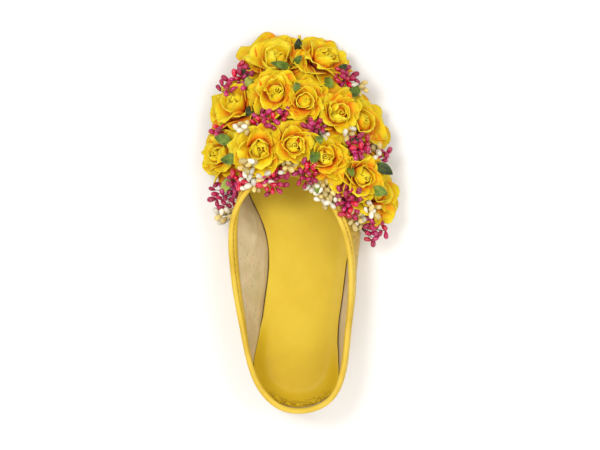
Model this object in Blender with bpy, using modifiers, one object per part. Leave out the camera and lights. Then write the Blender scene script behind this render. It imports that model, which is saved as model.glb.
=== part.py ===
"""A woman's khussa, right shoe: a yellow slip-on with a bed of roses all over its vamp.

Metres, +Z up, +Y towards the toe, +X to the outer side of the foot. The shoe stands on the plane z = 0,
and the origin is the middle of the heel lift's underside. Every place is a share of a few real sizes:
along the shoe a share of SOLE_LENGTH from the heel's end, across it a share of BALL_WIDTH from the axis.
"""

import math

import bmesh
import bpy
import numpy as np
from mathutils import Matrix, Vector
from mathutils.bvhtree import BVHTree

# The last: length and width of the sole, and the upper's height over the sole at heel and instep
SOLE_LENGTH = 0.2505
BALL_WIDTH = 0.0905
COUNTER_HEIGHT = 0.0390
INSTEP_HEIGHT = 0.0420

# Sole and insole
HEEL_LIFT_HEIGHT = 0.0060
HEEL_HOLLOW = 0.0030  # how far the heel's front curves back in its middle
OUTSOLE_THICKNESS = 0.0035
OUTSOLE_EDGE_ROUND = 0.0007
OUTSOLE_MARGIN = 0.0022  # how far the sole reaches beyond the middle of the upper's wall
INSOLE_THICKNESS = 0.0020
TOE_SPRING = 0.0060

# Upper and the binding over its top edge
UPPER_WALL = 0.0018
BINDING_DEPTH = 0.0050
BINDING_STRIP = 0.0007
BINDING_BEAD = 0.0021  # radius of the rolled bead

# Roses, pips and leaves
ROSE_RADIUS = 0.0185
ROSE_HEIGHT = 0.0190
ROSE_PETALS = 5
SPRAY_RADIUS = 0.0100
SPRAY_HEAD = 0.0075  # height of the stem bundle that carries the pips
PIP_LENGTH = 0.0075
PIP_RADIUS = 0.0026
LEAF_RADIUS = 0.0090  # the room that a leaf is given among its neighbours
LEAF_LENGTH = 0.0230
LEAF_WIDTH = 0.0110
LEAF_THICKNESS = 0.0008

# Clearances
GAP = 0.0003  # between two pieces that touch in the real shoe
BINDING_GAP = 0.0006  # between the binding and the wall, which twists at the throat's corners
FEATHER_GAP = 0.0007  # under the upper's bottom rim, which leans with its wall
INSOLE_GAP = 0.0009  # between the insole's edge and the lining
ITEM_GAP = 0.0005  # between a rose and its neighbours
SPRAY_GAP = 0.0011  # between the binding and the pips that hang over it
FLOOR_GAP = 0.0030  # under the lowest petals
WELD = 1e-7  # how near two points are when they are one
FITTING_STEPS = 4  # how often a small body is moved to a clearer place

# Where the sole changes along its length, as shares of SOLE_LENGTH
HEEL_REST_SHARE = 0.115
SEAT_END_SHARE = 0.215
TREAD_START_SHARE = 0.600
TREAD_END_SHARE = 0.790

# The loop round the shoe, from the heel along the outer side to the toe and back along the inner side.
# sole: the outsole's edge. top: the upper's top edge. counter and instep: how much of each height
# the top edge has. bulge: how far the wall bellies out, as a share of BALL_WIDTH. shoulder: how far
# the vamp reaches out before it turns down. crown: how much it has dropped there.
STATION_COLUMNS = ("sole_y", "sole_x", "top_y", "top_x", "counter", "instep", "bulge", "shoulder", "crown")
STATIONS = (
    (0.000, 0.017, -0.006, 0.013, 1.00, 0.00, 0.045, 0.40, 0.40),  # heel's end
    (0.022, 0.213, 0.016, 0.230, 0.99, 0.00, 0.050, 0.40, 0.40),
    (0.082, 0.338, 0.078, 0.346, 0.95, 0.00, 0.060, 0.40, 0.40),
    (SEAT_END_SHARE, 0.369, 0.209, 0.402, 0.88, 0.00, 0.075, 0.40, 0.40),  # heel's front, outer side
    (0.300, 0.400, 0.296, 0.427, 0.84, 0.00, 0.080, 0.40, 0.40),
    (0.405, 0.437, 0.394, 0.434, 0.83, 0.00, 0.080, 0.42, 0.38),  # waist
    (0.513, 0.488, 0.481, 0.403, 0.42, 0.44, 0.080, 0.46, 0.30),
    (0.617, 0.527, 0.557, 0.324, 0.00, 0.90, 0.075, 0.50, 0.20),  # outer joint
    (0.733, 0.522, 0.612, 0.226, 0.00, 0.95, 0.065, 0.54, 0.15),
    (0.838, 0.452, 0.646, 0.132, 0.00, 0.98, 0.050, 0.56, 0.12),
    (0.930, 0.300, 0.662, 0.048, 0.00, 1.00, 0.035, 0.57, 0.11),
    (1.000, 0.000, 0.669, -0.044, 0.00, 1.00, 0.025, 0.57, 0.11),  # tip of the toe
    (0.930, -0.296, 0.667, -0.138, 0.00, 1.00, 0.035, 0.57, 0.11),
    (0.838, -0.425, 0.656, -0.245, 0.00, 0.99, 0.045, 0.56, 0.12),
    (0.733, -0.475, 0.632, -0.356, 0.00, 0.97, 0.045, 0.52, 0.16),
    (0.617, -0.424, 0.584, -0.452, 0.00, 0.93, 0.035, 0.46, 0.24),  # inner joint
    (0.513, -0.292, 0.511, -0.508, 0.42, 0.48, 0.015, 0.42, 0.34),
    (0.405, -0.255, 0.411, -0.500, 0.87, 0.00, 0.010, 0.40, 0.40),  # waist
    (0.300, -0.290, 0.304, -0.461, 0.86, 0.00, 0.015, 0.40, 0.40),
    (SEAT_END_SHARE, -0.319, 0.219, -0.416, 0.89, 0.00, 0.025, 0.40, 0.40),  # heel's front, inner side
    (0.082, -0.317, 0.080, -0.315, 0.95, 0.00, 0.045, 0.40, 0.40),
    (0.022, -0.180, 0.016, -0.172, 0.99, 0.00, 0.048, 0.40, 0.40),
)
PER_SPAN = 3  # ribs from one station to the next
PLATE_COLUMNS = 3  # points across the sole, heel lift and insole
RIB_RISE_SHARE = 0.42  # how far a rib climbs before it bends, as a share of its height
RIB_SHARES = (0.0, 0.10, 0.23, 0.38, 0.55, 0.75, 1.0)  # the wall's rows, up to the binding's lower edge
RIB_SAMPLES = 33

# Roses: the foot on the upper (x, y, and z as a share of INSTEP_HEIGHT, then moved to the nearest point
# of the wall), the lean of the stem away from the wall's own normal, and the size and turn of the flower.
ITEM_COLUMNS = ("foot_x", "foot_y", "foot_z", "lean_x", "lean_y", "size", "turn")
ROSES = (
    (-0.170, 0.995, 0.35, -0.05, 0.10, 1.22, 10.0),
    (0.190, 0.995, 0.30, 0.10, 0.15, 1.22, 40.0),
    (-0.200, 0.905, 0.95, 0.00, -0.10, 1.10, 65.0),
    (0.060, 0.880, 1.00, 0.00, 0.10, 0.95, 20.0),
    (0.330, 0.840, 0.95, 0.15, 0.10, 1.10, 50.0),
    (0.520, 0.820, 0.45, 0.40, 0.10, 1.12, 0.0),
    (-0.460, 0.865, 0.45, -0.30, 0.10, 1.12, 30.0),
    (-0.290, 0.740, 1.00, 0.00, 0.00, 1.10, 15.0),
    (-0.020, 0.755, 1.10, 0.00, 0.00, 1.10, 55.0),
    (0.240, 0.712, 1.05, 0.05, 0.00, 1.05, 5.0),
    (0.490, 0.665, 0.80, 0.20, 0.00, 1.02, 35.0),
    (0.620, 0.620, 0.45, 0.35, 0.00, 1.12, 60.0),
    (-0.520, 0.720, 0.45, -0.15, 0.00, 1.05, 25.0),
)
# The rose from its stem foot up to its heart: radius and height as shares, how deep the petals
# scallop it, and by how many petals it is turned.
ROSE_COLUMNS = ("radius", "height", "scallop", "turn")
ROSE_PROFILE = (
    (0.20, 0.00, 0.00, 0.0),
    (0.30, 0.16, 0.00, 0.0),
    (0.80, 0.26, 0.14, 0.0),
    (1.00, 0.44, 0.16, 0.0),  # rim of the outer petals
    (0.66, 0.56, 0.05, 0.5),
    (0.64, 0.84, 0.14, 0.5),  # rim of the inner petals
    (0.36, 0.74, 0.05, 0.0),
    (0.28, 1.00, 0.10, 0.0),  # rim of the heart
)
ROSE_HEART_SHARE = 0.84
ROSE_SEGMENTS = 4 * ROSE_PETALS

SPRAYS = (
    (-0.400, 0.930, 0.45, -0.20, 0.20, 1.00, 0.0),
    (0.330, 0.930, 0.50, 0.20, 0.20, 0.90, 20.0),
    (-0.270, 0.812, 1.00, 0.00, 0.00, 0.85, 40.0),
    (0.140, 0.790, 1.10, 0.00, 0.00, 0.85, 60.0),
    (0.440, 0.735, 0.80, 0.10, 0.10, 0.85, 10.0),
    (-0.490, 0.610, 0.55, -0.10, -0.20, 1.05, 130.0),
    (-0.200, 0.700, 1.10, 0.00, -0.50, 1.05, 150.0),
    (0.080, 0.696, 1.10, 0.00, -0.50, 1.00, 15.0),
    (0.350, 0.622, 1.00, 0.00, -0.50, 1.05, 35.0),
    (0.560, 0.500, 0.60, 0.00, -0.10, 0.95, 5.0),
)
PIPS_PER_SPRAY = 5
PIP_TILTS = (12, 66)  # how far the first and the last pip lean from the stem, in degrees
PIP_ROOT_SHARE = 0.55  # where the pips spring from the bundle, as a share of SPRAY_HEAD
PIP_OUT_SHARE = 0.72  # how far a pip's middle lies from there, as a share of PIP_LENGTH
BUNDLE_SHARES = (0.7, 2.1)  # of the stem bundle at its foot and its head, as shares of PIP_RADIUS
GOLDEN_ANGLE = math.radians(137.5)

LEAF_WIDTH_SHARES = (0.16, 0.62, 1.00, 0.78, 0.12)  # from stalk to tip, as shares of LEAF_WIDTH
LEAF_FOLD_SHARE = 0.35  # how high the sides stand, as a share of their half width
LEAVES = (
    (-0.010, 0.990, 0.50, 0.00, 0.30, 1.00, 0.0),
    (-0.440, 0.780, 0.35, -0.20, 0.00, 0.90, 0.0),
    (0.540, 0.700, 0.35, 0.30, 0.10, 0.90, 0.0),
    (0.410, 0.870, 0.40, 0.30, 0.30, 0.90, 0.0),
)

UNDER_CONE = math.radians(45)  # a point lies under the wall within this angle of the wall's normal
SHARP = math.radians(55)  # an edge that bends more than this stays crisp
COLOURS = {
    "tan leather": (0.42, 0.24, 0.12, 1.0),
    "yellow sheet": (0.80, 0.52, 0.06, 1.0),
    "gold cloth": (0.62, 0.42, 0.10, 1.0),
    "yellow petals": (0.86, 0.60, 0.03, 1.0),
    "deep pink pips": (0.55, 0.02, 0.20, 1.0),
    "green leaves": (0.10, 0.20, 0.04, 1.0),
}
ROUGHNESS = {
    "tan leather": 0.60,
    "yellow sheet": 0.45,
    "gold cloth": 0.75,
    "yellow petals": 0.65,
    "deep pink pips": 0.35,
    "green leaves": 0.60,
}


def clear_scene():
    for obj in list(bpy.data.objects):
        bpy.data.objects.remove(obj, do_unlink=True)


def new_collection(name):
    collection = bpy.data.collections.new(name)
    bpy.context.scene.collection.children.link(collection)
    return collection


def material(name):
    found = bpy.data.materials.get(name)
    if found:
        return found
    made = bpy.data.materials.new(name)
    made.use_nodes = True
    shader = made.node_tree.nodes["Principled BSDF"]
    shader.inputs["Base Color"].default_value = COLOURS[name]
    shader.inputs["Roughness"].default_value = ROUGHNESS[name]
    shader.inputs["Metallic"].default_value = 0.0
    made.diffuse_color = COLOURS[name]
    return made


def finished(name, bm, collection, finish):
    """The bmesh as a named object, closed and facing out, in a collection and with its material."""
    bmesh.ops.recalc_face_normals(bm, faces=bm.faces)
    mesh = bpy.data.meshes.new(name)
    bm.to_mesh(mesh)
    bm.free()
    mesh.materials.append(material(finish))
    obj = bpy.data.objects.new(name, mesh)
    collection.objects.link(obj)
    return obj


def smooth(obj):
    obj.data.shade_smooth()
    obj.data.set_sharp_from_angle(angle=SHARP)


def columns(table, names):
    """A table of rows as one array for each named column."""
    return {name: np.array([row[k] for row in table]) for k, name in enumerate(names)}


def closed_spline(values, at, period, samples):
    """A smooth closed curve through values at the places at, read at samples: a periodic cubic."""
    count = len(at)
    step = np.append(np.diff(at), period - at[-1] + at[0])
    rise = (np.roll(values, -1, axis=0) - values) / step[:, None]
    matrix = np.zeros((count, count))
    for i in range(count):
        before, after = step[i - 1], step[i]
        matrix[i, i - 1] = 1 / before
        matrix[i, i] = 2 * (1 / before + 1 / after)
        matrix[i, (i + 1) % count] = 1 / after
    flow = 3 * (rise / step[:, None] + np.roll(rise / step[:, None], 1, axis=0))
    slope = np.linalg.solve(matrix, flow)
    read = []
    for i in range(count):
        for k in range(samples):
            t = k / samples
            a, b = values[i], values[(i + 1) % count]
            m, n = slope[i] * step[i], slope[(i + 1) % count] * step[i]
            bent = (t * t * (3 - 2 * t), t * (1 - t) ** 2, t * t * (t - 1))
            read.append(a + (b - a) * bent[0] + m * bent[1] + n * bent[2])
    return np.array(read)


def along(share):
    """A share of the sole's length as a y in metres, with 0 over the middle of the heel lift."""
    return (share - HEEL_REST_SHARE) * SOLE_LENGTH


def last_loop():
    """The stations read smoothly all round the shoe, with lengths in metres."""
    raw = columns(STATIONS, STATION_COLUMNS)
    values = np.array([raw[name] for name in STATION_COLUMNS]).T
    outline = np.array([raw["sole_x"] * BALL_WIDTH, raw["sole_y"] * SOLE_LENGTH]).T
    reach = np.linalg.norm(np.roll(outline, -1, axis=0) - outline, axis=1)
    at = np.concatenate([[0.0], np.cumsum(reach)[:-1]])
    read = closed_spline(values, at, reach.sum(), PER_SPAN)
    return {name: read[:, k] for k, name in enumerate(STATION_COLUMNS)}


LOOP = last_loop()
COUNT = len(LOOP["sole_y"])
TOE = COUNT // 2
HEEL_FRONT = [row[0] for row in STATIONS].index(SEAT_END_SHARE) * PER_SPAN


def unit(vectors):
    return vectors / np.linalg.norm(vectors, axis=-1, keepdims=True)


def sole_edge():
    """The outsole's edge as an array of x and y, a point for each rib."""
    return np.array([LOOP["sole_x"] * BALL_WIDTH, along(LOOP["sole_y"])]).T


def outwards():
    """The direction straight out of the sole's edge at each rib."""
    edge = sole_edge()
    run = unit(np.roll(edge, -1, axis=0) - np.roll(edge, 1, axis=0))
    return np.array([run[:, 1], -run[:, 0]]).T


def sole_outline(inset):
    """The sole's edge, moved inwards by inset."""
    return sole_edge() - outwards() * inset


def eased(t):
    t = min(max(t, 0.0), 1.0)
    return t * t * (3 - 2 * t)


def sole_bottom(y):
    """Height of the outsole's underside: lifted by the heel, flat under the tread, sprung at the toe."""
    share = y / SOLE_LENGTH + HEEL_REST_SHARE
    if share < TREAD_START_SHARE:
        waist = (share - SEAT_END_SHARE) / (TREAD_START_SHARE - SEAT_END_SHARE)
        return HEEL_LIFT_HEIGHT * (1 - eased(waist))
    spring = max(share - TREAD_END_SHARE, 0.0) / (1 - TREAD_END_SHARE)
    return TOE_SPRING * spring**2


def sole_top(y):
    return sole_bottom(y) + OUTSOLE_THICKNESS


def upper_surface():
    """The middle of the upper's wall: a row for each share of height, a point for each rib."""
    feather = sole_outline(OUTSOLE_MARGIN)
    out = outwards()
    t = np.linspace(0.0, 1.0, RIB_SAMPLES)[:, None]
    rows = np.zeros((len(RIB_SHARES) + 1, COUNT, 3))
    for i in range(COUNT):
        x, y = feather[i]
        foot = np.array([x, y, sole_top(y) + FEATHER_GAP])
        height = LOOP["counter"][i] * COUNTER_HEIGHT + LOOP["instep"][i] * INSTEP_HEIGHT
        top_y = along(LOOP["top_y"][i])
        top = np.array([LOOP["top_x"][i] * BALL_WIDTH, top_y, sole_top(top_y) + height])
        belly = np.append(out[i], 0.0) * LOOP["bulge"][i] * BALL_WIDTH
        rise = top[2] - foot[2]
        low = foot + belly + (0.0, 0.0, RIB_RISE_SHARE * rise)
        high = top + belly + (foot - top) * (1, 1, 0) * LOOP["shoulder"][i]
        high[2] = top[2] - LOOP["crown"][i] * rise
        rib = foot * (1 - t) ** 3 + low * 3 * t * (1 - t) ** 2 + high * 3 * t**2 * (1 - t) + top * t**3
        reach = np.concatenate([[0.0], np.cumsum(np.linalg.norm(np.diff(rib, axis=0), axis=1))])
        wanted = [share * (reach[-1] - BINDING_DEPTH) for share in RIB_SHARES] + [reach[-1]]
        for j, distance in enumerate(wanted):
            rows[j, i] = [np.interp(distance, reach, rib[:, k]) for k in range(3)]
    return rows


def loose_grid(points):
    """A grid whose corners lie at points[row][column], one vertex for each point in that order."""
    rows, across = points.shape[:2]
    bm = bmesh.new()
    bmesh.ops.create_grid(bm, x_segments=across - 1, y_segments=rows - 1, size=1.0)
    bm.verts.ensure_lookup_table()
    for vert, point in zip(bm.verts, points.reshape(-1, 3)):
        vert.co = point
    bm.normal_update()
    return bm


def bent_grid(points):
    """A grid whose corners lie at points[row][column]. Rows or columns that meet are welded."""
    bm = loose_grid(points)
    bmesh.ops.remove_doubles(bm, verts=bm.verts, dist=WELD)
    bmesh.ops.dissolve_degenerate(bm, dist=WELD, edges=bm.edges)
    return bm


def facing(rows):
    """The wall's outward direction at each point of the upper's middle, as the mesh itself has it."""
    bm = loose_grid(np.concatenate([rows[:, -1:], rows, rows[:, :1]], axis=1))
    normals = np.array([vert.normal[:] for vert in bm.verts]).reshape(len(rows), -1, 3)
    bm.free()
    return unit(normals[:, 1:-1])


def ringed(rows):
    """Rows with their first point repeated at the end, so that the grid closes round the shoe."""
    return np.concatenate([rows, rows[:, :1]], axis=1)


def plate(name, outline, last_row, height, thickness, finish, collection, hollow_end=0.0):
    """A flat piece across the outline, from the heel to a row: top at height(y), as thick as given."""
    rows = []
    for i in range(last_row + 1):
        outer, inner = outline[i % COUNT], outline[(COUNT - i) % COUNT]
        share = np.linspace(0.0, 1.0, PLATE_COLUMNS)[:, None]
        row = outer + (inner - outer) * share
        if i == last_row:
            row[:, 1] -= hollow_end * np.sin(np.pi * share[:, 0])
        rows.append([(x, y, height(y)) for x, y in row])
    bm = bent_grid(np.array(rows))
    made = bmesh.ops.extrude_face_region(bm, geom=list(bm.faces))
    for vert in made["geom"]:
        if isinstance(vert, bmesh.types.BMVert):
            vert.co.z -= thickness
    return finished(name, bm, collection, finish)


def build_outsole(collection):
    obj = plate("outsole", sole_outline(0.0), TOE, sole_top, OUTSOLE_THICKNESS, "tan leather", collection)
    bevel = obj.modifiers.new("edge", "BEVEL")
    bevel.width = OUTSOLE_EDGE_ROUND
    bevel.segments = 1
    bevel.limit_method = "ANGLE"
    bevel.angle_limit = SHARP


def build_heel_lift(collection):
    tall = HEEL_LIFT_HEIGHT - GAP
    outline = sole_outline(OUTSOLE_EDGE_ROUND)
    plate("heel_lift", outline, HEEL_FRONT, lambda y: tall, tall, "tan leather", collection, HEEL_HOLLOW)


def build_insole(collection):
    inset = OUTSOLE_MARGIN + UPPER_WALL / 2 + INSOLE_GAP
    raised = GAP + INSOLE_THICKNESS
    plate(
        "insole",
        sole_outline(inset),
        TOE,
        lambda y: sole_top(y) + raised,
        INSOLE_THICKNESS,
        "yellow sheet",
        collection,
    )


def in_triangles(obj):
    """Cuts each four-sided face along its shorter diagonal, so that two parallel walls stay parallel."""
    cut = obj.modifiers.new("facets", "TRIANGULATE")
    cut.quad_method = "SHORTEST_DIAGONAL"


def build_upper(collection, rows):
    obj = finished("upper", bent_grid(ringed(rows)), collection, "gold cloth")
    wall = obj.modifiers.new("wall", "SOLIDIFY")
    wall.thickness = UPPER_WALL
    wall.offset = 0.0
    in_triangles(obj)
    smooth(obj)


def binding_section():
    """The folded strip round the top edge, as pairs: off the wall's middle, and above its top edge."""
    inner = UPPER_WALL / 2 + BINDING_GAP
    outer = inner + BINDING_STRIP
    bead = [
        (BINDING_BEAD * math.cos(angle), BINDING_GAP + BINDING_BEAD * math.sin(angle))
        for angle in np.radians((15, 90, 165))
    ]
    return (
        [(-inner, -BINDING_DEPTH), (-inner, BINDING_GAP), (inner, BINDING_GAP), (inner, -BINDING_DEPTH)]
        + [(outer, -BINDING_DEPTH)]
        + bead
        + [(-outer, -BINDING_DEPTH)]
    )


def binding_rows(rows):
    """The binding's section carried round the upper's top edge."""
    normal = facing(rows)
    edge, below = rows[-1], rows[-2]
    up = unit(edge - below)
    section = binding_section()
    return np.array(
        [
            edge + up * high + (normal[-2] if high < 0 else normal[-1]) * off
            for off, high in section + section[:1]
        ]
    )


def build_binding(collection, rows):
    obj = finished("topline_binding", bent_grid(ringed(binding_rows(rows))), collection, "yellow sheet")
    in_triangles(obj)
    smooth(obj)


class Bouquet:
    """The roses, pips and leaves on the vamp: where each stands, and what its neighbours leave it."""

    def __init__(self, rows):
        self.wall = self.tree(rows)
        self.binding = self.tree(binding_rows(rows))
        self.items = []

    def tree(self, rows):
        bm = bent_grid(ringed(rows))
        bmesh.ops.recalc_face_normals(bm, faces=bm.faces)
        found = BVHTree.FromBMesh(bm)
        bm.free()
        return found

    def place(self, row, radius, reach, foot_radius):
        """Where an item stands: a matrix with Z along its stem, from its foot just off the upper."""
        item = dict(zip(ITEM_COLUMNS, row))
        y = along(item["foot_y"])
        z = sole_top(y) + item["foot_z"] * INSTEP_HEIGHT
        near, normal, _, _ = self.wall.find_nearest(Vector((item["foot_x"] * BALL_WIDTH, y, z)))
        stem = (normal + Vector((item["lean_x"], item["lean_y"], 0.0))).normalized()
        tipped = foot_radius * math.sin(stem.angle(normal))
        foot = near + normal * (UPPER_WALL / 2 + GAP + tipped)
        turn = stem.to_track_quat("Z", "Y").to_matrix().to_4x4()
        spin = Matrix.Rotation(math.radians(item["turn"]), 4, "Z")
        at = Matrix.Translation(foot) @ turn @ spin
        self.items.append((at, at @ Vector((0.0, 0.0, reach)), radius * item["size"]))

    def squeezed(self, number, point):
        """A point of item number, pressed back where a neighbour begins, and off the upper."""
        _, centre, size = self.items[number]
        for other, (_, middle, other_size) in enumerate(self.items):
            apart = middle - centre
            reach = apart.length
            if other == number or reach > size + other_size:
                continue
            side = apart / reach
            limit = reach * size / (size + other_size) - ITEM_GAP / 2
            over = (point - centre).dot(side) - limit
            if over > 0:
                point = point - side * over
        point = pushed_off(point, self.wall, UPPER_WALL / 2 + ITEM_GAP)
        point = pushed_off(point, self.binding, SPRAY_GAP)
        point.z = max(point.z, FLOOR_GAP)
        return point

    def fitted(self, number, bm):
        """A small body of item number, first moved as a whole to where it is clear, then pressed."""
        at = self.items[number][0]
        back = at.inverted()
        for _ in range(FITTING_STEPS):
            moves = [self.squeezed(number, at @ vert.co) - at @ vert.co for vert in bm.verts]
            furthest = max(moves, key=lambda move: move.length)
            bmesh.ops.translate(bm, vec=furthest, space=at, verts=bm.verts)
        for vert in bm.verts:
            vert.co = back @ self.squeezed(number, at @ vert.co)
        return bm


def pushed_off(point, tree, clearance):
    """The point, moved out of a surface and clear of it, if it lies under it or too near."""
    near, normal, _, distance = tree.find_nearest(point)
    under = (near - point).dot(normal) > distance * math.cos(UNDER_CONE)
    if distance < clearance or under:
        return near + normal * clearance
    return point


def rose_mesh(size):
    """A rose as one body: a sphere's rings moved to the profile, each scalloped by its petals."""
    profile = columns(ROSE_PROFILE, ROSE_COLUMNS)
    rings = len(ROSE_PROFILE)
    bm = bmesh.new()
    bmesh.ops.create_uvsphere(bm, u_segments=ROSE_SEGMENTS, v_segments=rings + 1, radius=1.0)
    for vert in bm.verts:
        angle = math.atan2(vert.co.y, vert.co.x)
        ring = round(math.acos(max(-1.0, min(1.0, -vert.co.z))) / math.pi * (rings + 1)) - 1
        if ring < 0:
            vert.co = (0.0, 0.0, 0.0)
        elif ring == rings:
            vert.co = (0.0, 0.0, ROSE_HEART_SHARE * ROSE_HEIGHT)
        else:
            petal = ROSE_PETALS * angle + 2 * math.pi * profile["turn"][ring]
            lobe = 1 - profile["scallop"][ring] * (0.5 - 0.5 * math.cos(petal))
            radius = profile["radius"][ring] * size * lobe
            high = profile["height"][ring] * ROSE_HEIGHT
            vert.co = (radius * math.cos(angle), radius * math.sin(angle), high)
    return bm


def build_rose(number, bouquet, collection):
    at, _, size = bouquet.items[number]
    bm = rose_mesh(size)
    back = at.inverted()
    for vert in bm.verts:
        vert.co = back @ bouquet.squeezed(number, at @ vert.co)
    obj = finished(f"rose_{number + 1:02d}", bm, collection, "yellow petals")
    obj.matrix_world = at


def pip(size, at):
    """One pip as a long bead of twenty faces, with its length along Z of at."""
    bm = bmesh.new()
    bmesh.ops.create_icosphere(bm, subdivisions=1, radius=1.0)
    grown = Matrix.Diagonal((PIP_RADIUS * size, PIP_RADIUS * size, PIP_LENGTH / 2 * size, 1.0))
    bmesh.ops.transform(bm, matrix=at @ grown, verts=bm.verts)
    return bm


def build_spray(number, name, bouquet, collection, guides):
    """A spray of pips: a bundle of stems from the foot, and the pips fused round its head."""
    at, _, size = bouquet.items[number]
    scale = size / SPRAY_RADIUS
    bm = bmesh.new()
    bmesh.ops.create_cone(
        bm,
        cap_ends=True,
        segments=8,
        radius1=PIP_RADIUS * BUNDLE_SHARES[0],
        radius2=PIP_RADIUS * BUNDLE_SHARES[1] * scale,
        depth=SPRAY_HEAD,
        matrix=Matrix.Translation((0.0, 0.0, SPRAY_HEAD / 2)),
    )
    body = finished(name, bouquet.fitted(number, bm), collection, "deep pink pips")
    body.matrix_world = at
    for k in range(PIPS_PER_SPRAY):
        spread = math.sqrt(k / (PIPS_PER_SPRAY - 1))
        tilt = math.radians(PIP_TILTS[0] + (PIP_TILTS[1] - PIP_TILTS[0]) * spread)
        turn = Matrix.Rotation(k * GOLDEN_ANGLE, 4, "Z") @ Matrix.Rotation(tilt, 4, "Y")
        lifted = Matrix.Translation((0.0, 0.0, SPRAY_HEAD * PIP_ROOT_SHARE)) @ turn
        placed = lifted @ Matrix.Translation((0.0, 0.0, PIP_LENGTH * PIP_OUT_SHARE * scale))
        bead = bouquet.fitted(number, pip(scale, placed))
        guide = finished(f"{name}_pip_{k}", bead, guides, "deep pink pips")
        guide.matrix_world = at
        guide.hide_render = True
        guide.display_type = "WIRE"
        fuse = body.modifiers.new(f"fuse {k}", "BOOLEAN")
        fuse.operation = "UNION"
        fuse.object = guide


def build_leaf(number, name, bouquet, collection):
    """A folded leaf on a short stalk: a narrow grid bent along its middle and given a thickness."""
    at, _, size = bouquet.items[number]
    back = at.inverted()
    scale = size / LEAF_RADIUS
    rows = []
    for k, width in enumerate(LEAF_WIDTH_SHARES):
        along_it = LEAF_LENGTH * scale * k / (len(LEAF_WIDTH_SHARES) - 1)
        half = LEAF_WIDTH / 2 * scale * width
        fold = half * LEAF_FOLD_SHARE
        rows.append([(-half, fold, along_it), (0.0, 0.0, along_it), (half, fold, along_it)])
    bm = bent_grid(np.array(rows))
    for vert in bm.verts:
        vert.co = back @ bouquet.squeezed(number, at @ vert.co)
    obj = finished(name, bm, collection, "green leaves")
    obj.matrix_world = at
    sheet = obj.modifiers.new("sheet", "SOLIDIFY")
    sheet.thickness = LEAF_THICKNESS
    sheet.offset = 0.0


def main():
    clear_scene()
    shoe = new_collection("khussa")
    guides = new_collection("guides")
    guides.hide_render = True
    rows = upper_surface()
    build_outsole(shoe)
    build_heel_lift(shoe)
    build_insole(shoe)
    build_upper(shoe, rows)
    build_binding(shoe, rows)
    bouquet = Bouquet(rows)
    for row in ROSES:
        bouquet.place(row, ROSE_RADIUS, ROSE_HEIGHT / 2, ROSE_PROFILE[0][0] * ROSE_RADIUS)
    for row in SPRAYS:
        bouquet.place(row, SPRAY_RADIUS, SPRAY_HEAD + PIP_LENGTH / 4, PIP_RADIUS)
    for row in LEAVES:
        bouquet.place(row, LEAF_RADIUS, LEAF_LENGTH / 2, 0.0)
    for number in range(len(ROSES)):
        build_rose(number, bouquet, shoe)
    for k in range(len(SPRAYS)):
        build_spray(len(ROSES) + k, f"pip_spray_{k + 1:02d}", bouquet, shoe, guides)
    for k in range(len(LEAVES)):
        build_leaf(len(ROSES) + len(SPRAYS) + k, f"leaf_{k + 1:02d}", bouquet, shoe)


main()
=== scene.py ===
# %% [markdown]
# # A khussa covered with roses
#
# A khussa is a flat slip-on shoe with a low leather sole. This one, a right shoe, has a yellow insole, a
# bound top edge and thirteen cloth roses sewn all over its vamp, with sprays of pips and small leaves
# between them. The shoe already stands in the scene as plain solids. Each cell below takes one of them,
# or one finish, from plain to real.

import math
import random
from contextlib import contextmanager

import bmesh
import bpy
import numpy as np
from mathutils import Matrix, Vector, noise
from mathutils.bvhtree import BVHTree
from mathutils.kdtree import KDTree


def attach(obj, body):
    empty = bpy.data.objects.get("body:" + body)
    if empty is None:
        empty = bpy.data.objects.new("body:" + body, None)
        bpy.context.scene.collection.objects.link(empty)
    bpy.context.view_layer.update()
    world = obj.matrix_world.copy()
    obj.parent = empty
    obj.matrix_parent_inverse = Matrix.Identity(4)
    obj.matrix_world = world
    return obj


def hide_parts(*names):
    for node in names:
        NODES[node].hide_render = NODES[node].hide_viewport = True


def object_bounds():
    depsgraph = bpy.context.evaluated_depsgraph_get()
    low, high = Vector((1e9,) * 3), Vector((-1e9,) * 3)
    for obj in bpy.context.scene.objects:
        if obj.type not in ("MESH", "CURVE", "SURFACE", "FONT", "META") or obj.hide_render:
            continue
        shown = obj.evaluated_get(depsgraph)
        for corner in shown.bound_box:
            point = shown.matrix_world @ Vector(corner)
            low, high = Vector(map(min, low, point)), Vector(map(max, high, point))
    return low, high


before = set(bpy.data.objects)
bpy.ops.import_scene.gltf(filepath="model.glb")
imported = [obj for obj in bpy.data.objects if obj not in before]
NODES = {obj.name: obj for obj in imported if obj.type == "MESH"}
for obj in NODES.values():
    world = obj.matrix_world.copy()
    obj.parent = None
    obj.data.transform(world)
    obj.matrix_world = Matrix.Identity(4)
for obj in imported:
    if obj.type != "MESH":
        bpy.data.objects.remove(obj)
CAD_BOX = [list(corner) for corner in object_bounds()]
MM = 0.001
print(len(NODES), "solids, from", CAD_BOX[0], "to", CAD_BOX[1])

# %% [markdown]
# ## Camera and light
#
# The shoe is seen from straight above with its toe at the top. A long lens from high up keeps the sides
# from spreading, as in a catalogue picture. The light is a soft lamp from the upper left, a wider and
# weaker one from the right, a low one from behind the heel, and a pale sky that fills the hollows between
# the petals.

# %% Camera
VIEW_HEIGHT = 1.9  # of the camera over the floor
VIEW_SPAN = 0.322  # how much of the floor the picture's height takes in
PICTURE_ASPECT = 600 / 450
SENSOR = 36.0
MIDDLE = (Vector(CAD_BOX[0]) + Vector(CAD_BOX[1])) / 2

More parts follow.
